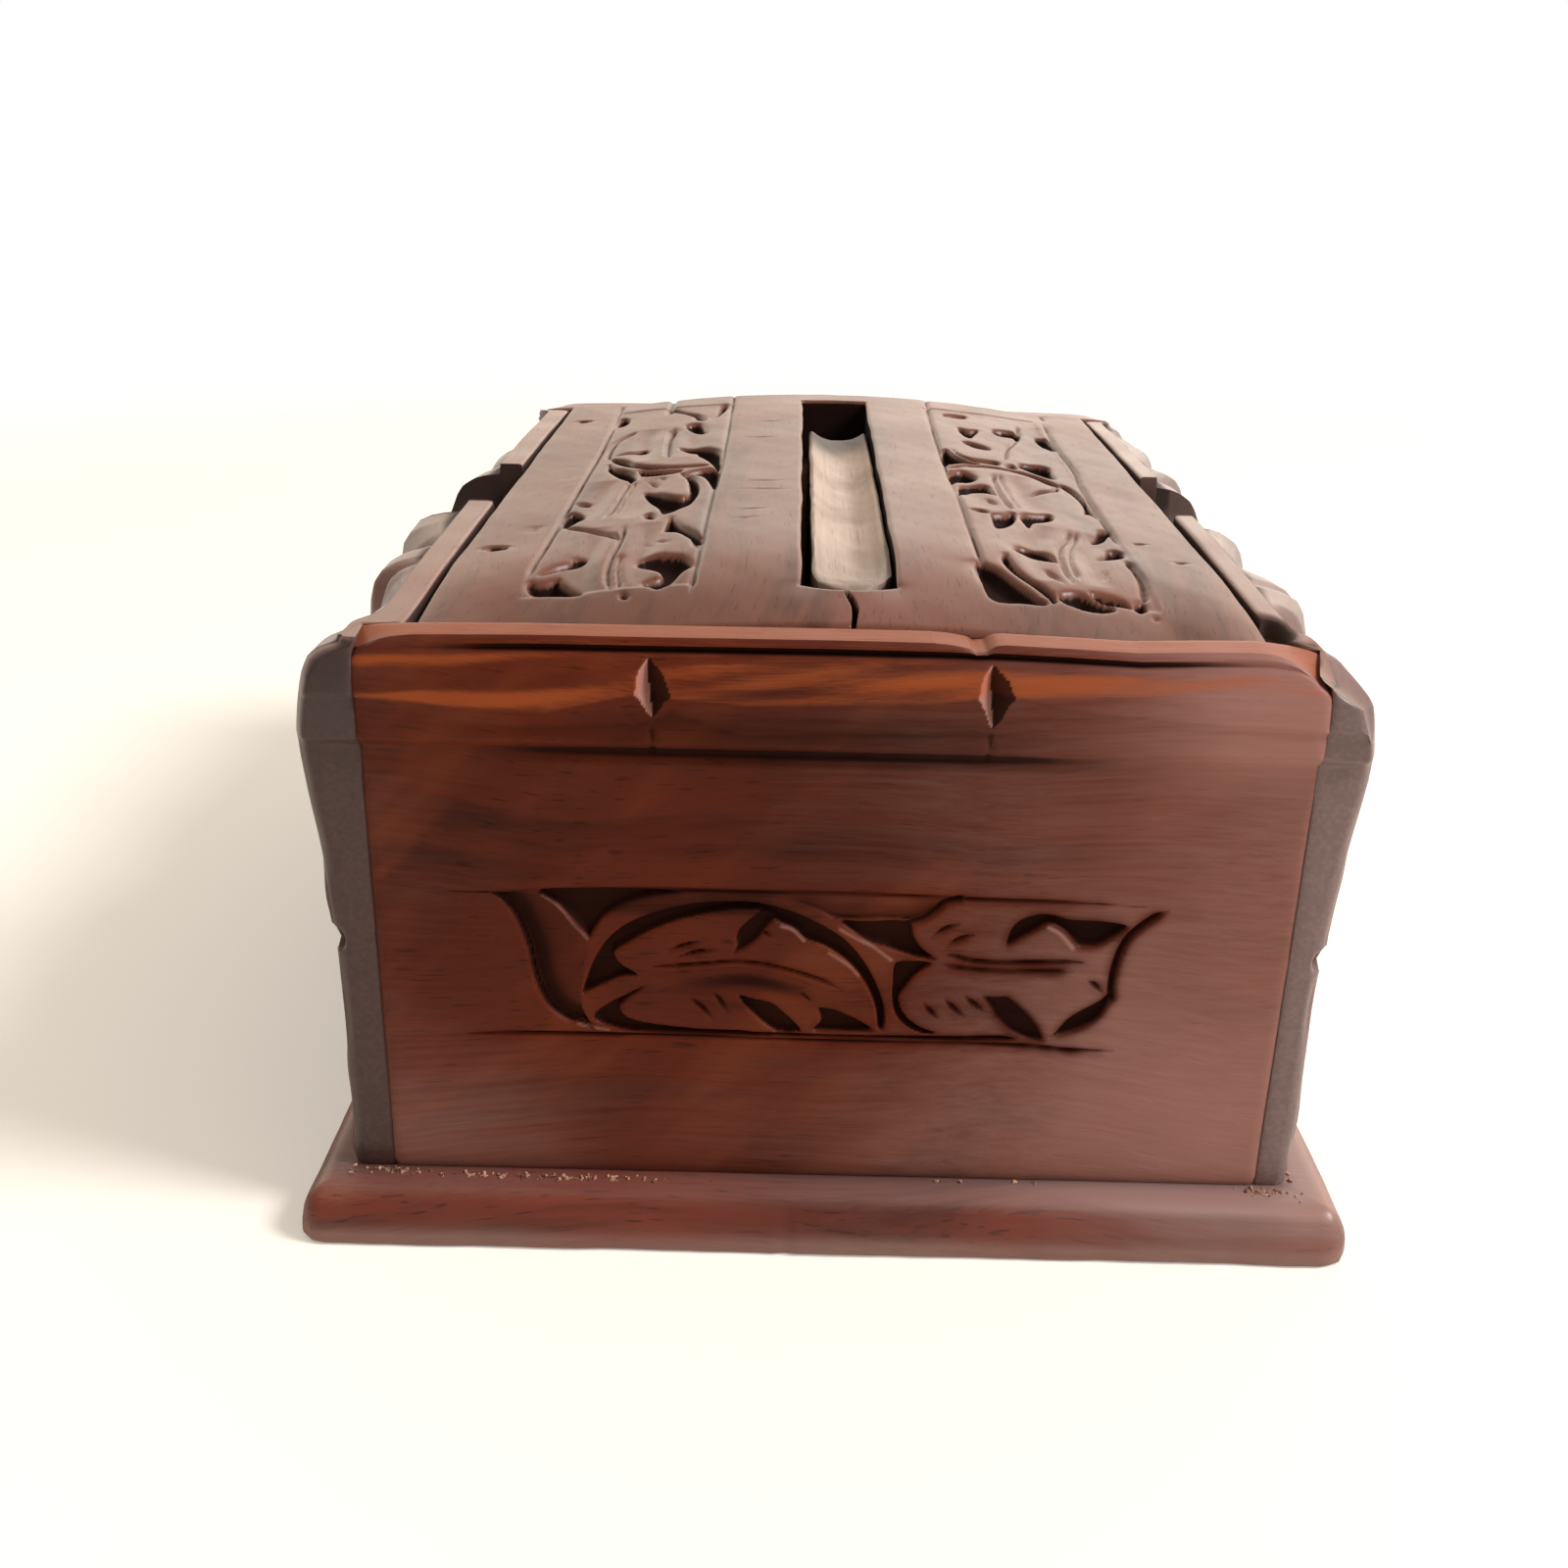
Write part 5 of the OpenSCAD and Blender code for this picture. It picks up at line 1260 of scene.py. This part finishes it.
count_y = len(ys)
kept = ~((xs[:-1, None] >= slot_left - 0.01) & (xs[1:, None] <= slot_right + 0.01)
         & (ys[None, :-1] >= -slot_end - 0.01) & (ys[None, 1:] <= slot_end + 0.01))
i, j = np.nonzero(kept)
quads = np.stack([i * count_y + j, (i + 1) * count_y + j, (i + 1) * count_y + j + 1, i * count_y + j + 1], -1)
work = bmesh.new()
points = np.stack([grid_x, grid_y, lid_z], -1).reshape(-1, 3)
dirt_and_shade_layer = work.verts.layers.float.new("hollow")
edge_layer = work.verts.layers.float.new("edge")
corners_of = [work.verts.new(p) for p in points.tolist()]
for vert, dark, rub in zip(corners_of, dirt_and_shade.ravel().tolist(), edge_share.ravel().tolist()):
    vert[dirt_and_shade_layer] = dark
    vert[edge_layer] = rub
for quad in quads.tolist():
    work.faces.new([corners_of[k] for k in quad])
bmesh.ops.delete(work, geom=[v for v in work.verts if not v.link_faces], context="VERTS")
bmesh.ops.remove_doubles(work, verts=work.verts, dist=0.001)
rim = [e for e in work.edges if e.is_boundary]
for drop_to in (None, 64.0, lid_under):
    drawn = bmesh.ops.extrude_edge_only(work, edges=rim)["geom"]
    for vert in (g for g in drawn if isinstance(g, bmesh.types.BMVert)):
        vert.co.z = drop_to if drop_to else vert.co.z - 0.3
        # painted shade on the lid's rim faces
        vert[dirt_and_shade_layer] = 0.9
        vert[edge_layer] = 0.0
    rim = [g for g in drawn if isinstance(g, bmesh.types.BMEdge) and g.is_boundary]
bmesh.ops.triangle_fill(work, edges=rim, use_beauty=True, normal=(0, 0, -1))
bmesh.ops.recalc_face_normals(work, faces=work.faces)
bmesh.ops.scale(work, vec=[to_metres] * 3, verts=work.verts)
lid_mesh = bpy.data.meshes.new("carved_lid")
work.to_mesh(lid_mesh)
work.free()
carved_lid = shown("carved_lid", lid_mesh, lid_finish, crease=82)
fit(carved_lid, "inner_box", "lid_walnut", "lid_panel")

# ---------------------------------------------------------------------------
# Inner box: four plain boards of unfinished wood. The front and back ones cover the
# ends of the side ones and are nailed to them, and all arrises are planed off.
inner_finish = bare_wood("Inner board wood", tint(168, 120, 88), tint(146, 100, 72), tint(112, 72, 50),
                         seed=0.6, scuffed=0.4)
inner_side_finish = bare_wood("Inner side wood", tint(164, 116, 86), tint(140, 96, 70), tint(108, 70, 50),
                              turned=turned_y, seed=0.9, scuffed=0.4)


def planed_board(name, low, high, way, finish, seed, skewed=None):
    """A board with eased edges and the slight waves of a hand plane, long along one axis."""
    low, high = np.array(low, dtype=float), np.array(high, dtype=float)
    long, wide, thick = {"x": (0, 2, 1), "y": (1, 2, 0), "flat": (1, 0, 2)}[way]
    run = np.linspace(low[long], high[long], 41)
    ease_by = 0.5
    start, end = run[0], run[-1]
    run = np.concatenate([[start, start + 0.15, start + 0.5], run[1:-1], [end - 0.5, end - 0.15, end]])
    loops = []
    for place in run:
        to_end = min(place - low[long], high[long] - place)
        tuck = ease_by * (1 - math.sqrt(max(0.0, 1 - max(0.0, 1 - to_end / ease_by) ** 2)))
        a0, a1 = low[wide] + tuck, high[wide] - tuck
        b0, b1 = low[thick] + tuck, high[thick] - tuck
        turn_in = np.array([0.0, 0.3, 1.0]) * ease_by
        turn_up = np.array([1.0, 0.3, 0.0]) * ease_by
        side_a = np.linspace(a0 + ease_by, a1 - ease_by, 9)[1:-1]
        side_b = np.linspace(b0 + ease_by, b1 - ease_by, 4)[1:-1]
        a = np.concatenate([a0 + turn_in, side_a, a1 - turn_in[::-1], np.full(2, a1), a1 - turn_in,
                            side_a[::-1], a0 + turn_in[::-1], np.full(2, a0)])
        b = np.concatenate([b0 + turn_up, np.full(7, b0), b0 + turn_up[::-1], side_b, b1 - turn_up,
                            np.full(7, b1), b1 - turn_up[::-1], side_b[::-1]])
        wave = 0.06 * dapple(np.full(a.shape, place), a, 26, seed) * np.where(b > (b0 + b1) / 2, 1, -1)
        loop = np.zeros((len(a), 3))
        loop[:, long], loop[:, wide], loop[:, thick] = place, a, b - np.abs(wave) * np.sign(b - (b0 + b1) / 2)
        loops.append(loop)
    loops = np.array(loops)
    if skewed:
        skewed(loops)
    points, faces = loft(loops)
    gap = np.min(np.minimum(points - low, high - points), axis=1)
    return make(name, points, faces, finish, {"hollow": 0.15 * (gap > 1)}, crease=40)


box_low, box_high = 6.3, 60.2
out_x, out_y, inner_thick = 41.5, 60.5, 7.0
in_x, in_y = out_x - inner_thick, out_y - inner_thick
for name, node, low, high, way, wood, seed in (
        ("front_inner_board", "inner_front", (-out_x, -out_y), (out_x, -in_y), "x", inner_finish, 61),
        ("back_inner_board", "inner_back", (-out_x, in_y), (out_x, out_y), "x", inner_finish, 62),
        ("left_inner_board", "inner_left", (-out_x, -in_y), (-in_x, in_y), "y", inner_side_finish, 63),
        ("right_inner_board", "inner_right", (in_x, -in_y), (out_x, in_y), "y", inner_side_finish, 64)):
    board = planed_board(name, (*low, box_low), (*high, box_high), way, wood, seed)
    fit(board, "inner_box", "inner_wood", node)

# ---------------------------------------------------------------------------
# Sloping floor: two thin boards of the same wood, nailed in through the front and
# back inner boards. Sticks roll down them to the bar.
slope = math.tan(math.radians(18))
floor_low, floor_high = 23.2, 28.2
gap_left, gap_right = -3.75, 6.25


def slant(side, edge_x):
    def lean(loops):
        loops[:, :, 2] += slope * side * (loops[:, :, 0] - edge_x)
    return lean


for name, node, side, low_x, high_x, edge_x in (
        ("left_floor_board", "left_ramp", -1, -in_x, gap_left, gap_left),
        ("right_floor_board", "right_ramp", 1, gap_right, in_x, gap_right)):
    floor_board = planed_board(name, (low_x, -in_y, floor_low), (high_x, in_y, floor_high), "flat",
                               inner_side_finish, 66 + side, skewed=slant(side, edge_x))
    fit(floor_board, "inner_box", "inner_wood", node)

# ---------------------------------------------------------------------------
# Nails: small drawn steel nails, one tree of nodes for all three sets. All share
# one steel finish, spotted with rust.
nail_finish, b = finish_bench("Nail steel")
place = b.place()
spots = b.noise(place, 1400.0, 3.0)
rust = b.rise(spots, 0.42, 0.62)
pits = b.node("ShaderNodeBump", {}, {"Height": spots, "Strength": 0.3, "Distance": 0.00008})
steel = b.node("ShaderNodeBsdfPrincipled", {},
               {"Base Color": b.blend(rust, tint(150, 146, 142), tint(74, 46, 32)),
                "Metallic": 0.9 - 0.8 * rust, "Roughness": 0.38 + 0.35 * rust, "Normal": pits})
b.show(steel)


def growing_tree(name, result, sizes):
    """A tree of nodes that grows things on places: its bench, and what it is given."""
    tree = bpy.data.node_groups.new(name, "GeometryNodeTree")
    asked_for = {"Places": "Geometry", **{size: "Float" for size in sizes}, "Finish": "Material"}
    for label, kind in asked_for.items():
        tree.interface.new_socket(label, in_out="INPUT", socket_type="NodeSocket" + kind)
    tree.interface.new_socket(result, in_out="OUTPUT", socket_type="NodeSocketGeometry")
    g = Bench(tree)
    given = tree.nodes.new("NodeGroupInput")
    return g, {label: Wire(g, given.outputs[label]) for label in asked_for}


def dressed_tree(g, spread, finish):
    """Makes one plain mesh of what was grown, in its finish, and hands it out."""
    loose = g.node("GeometryNodeRealizeInstances", {}, {"Geometry": spread})
    dressed = g.node("GeometryNodeSetMaterial", {}, {"Geometry": loose, "Material": finish})
    end = g.tree.nodes.new("NodeGroupOutput")
    g.tree.links.new(dressed.socket, end.inputs[0])
    return g.tree


def nail_tree():
    g, asked = growing_tree("Driven nails", "Nails",
                            ("Head radius", "Head height", "Shank radius", "Shank length"))
    head = g.node("GeometryNodeMeshCone", {"fill_type": "NGON"},
                  {"Vertices": 14, "Radius Top": asked["Head radius"] * 0.82,
                   "Radius Bottom": asked["Head radius"], "Depth": asked["Head height"]}, out="Mesh")
    lowered = g.node("GeometryNodeTransform", {}, {
        "Geometry": head, "Rotation": (math.pi, 0, 0),
        "Translation": g.node("ShaderNodeCombineXYZ", {}, {"Z": asked["Head height"]})})
    shank = g.node("GeometryNodeMeshCone", {"fill_type": "NGON"},
                   {"Vertices": 12, "Radius Top": asked["Shank radius"] * 0.5,
                    "Radius Bottom": asked["Shank radius"], "Depth": asked["Shank length"]}, out="Mesh")
    both = g.node("GeometryNodeJoinGeometry")
    for half in (shank, lowered):
        g.tree.links.new(half.socket, both.socket.node.inputs[0])
    aim = g.node("GeometryNodeInputNamedAttribute", {"data_type": "FLOAT_VECTOR"}, {"Name": "aim"})
    turned = g.node("FunctionNodeAlignRotationToVector", {"axis": "Z"}, {"Vector": aim})
    driven = g.node("GeometryNodeInstanceOnPoints", {}, {"Points": asked["Places"], "Instance": both,
                                                         "Rotation": turned})
    return dressed_tree(g, driven, asked["Finish"])


def grown(name, places, marks, tree, sizes):
    """Lets a tree of nodes grow on a set of places, and keeps the result as a plain mesh."""
    seeds = bpy.data.meshes.new(name + "_places")
    seeds.from_pydata((np.array(places) * to_metres).tolist(), [], [])
    for key, values in marks.items():
        kind = "FLOAT_VECTOR" if np.ndim(values) > 1 else "FLOAT"
        layer = seeds.attributes.new(key, kind, "POINT")
        layer.data.foreach_set("vector" if kind == "FLOAT_VECTOR" else "value",
                               np.asarray(values, dtype=np.float32).ravel())
    holder = put(name + "_places", seeds)
    modifier = holder.modifiers.new("Grown", "NODES")
    modifier.node_group = tree
    for item in tree.interface.items_tree:
        if item.in_out == "INPUT" and item.name in sizes:
            modifier[item.identifier] = sizes[item.name]
    bpy.context.view_layer.update()
    result = bpy.data.meshes.new_from_object(holder.evaluated_get(bpy.context.evaluated_depsgraph_get()))
    bpy.data.objects.remove(holder)
    for layer in [a for a in result.attributes if a.name in marks]:
        result.attributes.remove(layer)
    result.name = name
    return put(name, result)


nails = nail_tree()
nail_sizes = {"Head radius": 0.00132, "Head height": 0.0006, "Shank radius": 0.0007, "Shank length": 0.0125,
              "Finish": nail_finish}
base_nails_at = [(x, y, 0.0) for x in (-30, 30) for y in (-63.5, 63.5)]
base_nails_at += [(x, y, 0.0) for x in (-46.2, 46.2) for y in (-45, 0, 45)]
base_nails_at += [(1.25, y, 0.0) for y in (-41, -11, 19)]
upwards = [(0, 0, 1)] * len(base_nails_at)
base_nails = grown("base_nails_in", base_nails_at, {"aim": upwards}, nails, nail_sizes)
fit(base_nails, "case", "nail_steel", "base_nails")

lid_nails_at = [(x, y, 65.3) for x in (-38, 38) for y in (-35, 44)]
downwards = [(0, 0, -1)] * len(lid_nails_at)
lid_nails = grown("lid_nails_in", lid_nails_at, {"aim": downwards}, nails, nail_sizes)
fit(lid_nails, "inner_box", "nail_steel", "lid_nails")

box_nails_at = [(x, y, z) for x in (-38, 38) for y in (-out_y, out_y) for z in (15.3, 51.2)]
box_nails_at += [(x, y, z) for x, z in ((-19.125, 30.7), (20.375, 30.3)) for y in (-out_y, out_y)]
inwards = [(0, -math.copysign(1, y), 0) for _, y, _ in box_nails_at]
box_nails = grown("box_nails_in", box_nails_at, {"aim": inwards}, nails, nail_sizes)
fit(box_nails, "inner_box", "nail_steel", "box_nails")

# ---------------------------------------------------------------------------
# Crumbs: dried glue and dust that have gathered at the foot of the walls, most of
# all at the front corners.
crumb_finish, b = finish_bench("Old glue")
place = b.place()
mottle = b.noise(place, 1100.0, 2.0)
glue = b.node("ShaderNodeBsdfPrincipled", {},
              {"Base Color": b.blend(b.rise(mottle, 0.4, 0.65), tint(206, 164, 134), tint(112, 72, 56)),
               "Roughness": 0.8})
b.show(glue)


def crumb_tree():
    g, asked = growing_tree("Crumbs", "Crumbs", ("Grain",))
    lump = g.node("GeometryNodeMeshIcoSphere", {}, {"Radius": asked["Grain"], "Subdivisions": 1}, out="Mesh")
    spin = g.node("FunctionNodeRandomValue", {"data_type": "FLOAT_VECTOR"},
                  {"Min": (0, 0, 0), "Max": (6.28, 6.28, 6.28), "Seed": 4})
    size = g.node("GeometryNodeInputNamedAttribute", {"data_type": "FLOAT"}, {"Name": "size"})
    squash = g.node("ShaderNodeCombineXYZ", {}, {"X": size, "Y": size * 0.7, "Z": size * 0.55})
    spread = g.node("GeometryNodeInstanceOnPoints", {}, {"Points": asked["Places"], "Instance": lump,
                                                         "Rotation": spin, "Scale": squash})
    return dressed_tree(g, spread, asked["Finish"])


luck = np.random.default_rng(17)
crumb_spots = []
for mid_x, mid_y, spread_x, spread_y, count in ((-46, -66.6, 3.4, 0.5, 46), (47, -66.9, 2.6, 0.6, 34),
                                                (50.4, -62, 0.5, 4, 26), (-50.6, -60, 0.5, 5, 20),
                                                (20, -66.4, 9, 0.2, 8), (-30, -67.2, 12, 0.5, 90),
                                                (-50.5, 20, 0.3, 40, 26), (50.5, 20, 0.3, 40, 26),
                                                (0, 66.5, 46, 0.35, 60)):
    for _ in range(count):
        x = mid_x + spread_x * luck.normal() * 0.6
        y = mid_y + spread_y * luck.normal() * 0.6
        outside = abs(x) > 50.15 or abs(y) > 66.15
        if outside and abs(x) < 52.6 and abs(y) < 68.6:
            crumb_spots.append((x, y, luck.uniform(0.5, 1.4)))
crumb_sizes = [0.45 + 1.1 * s ** 3 / 2.7 for _, _, s in crumb_spots]
crumbs = grown("glue_crumbs", [(x, y, 6.05) for x, y, _ in crumb_spots], {"size": crumb_sizes}, crumb_tree(),
               {"Grain": 0.00024, "Finish": crumb_finish})
fit(crumbs, "case", "base_walnut")
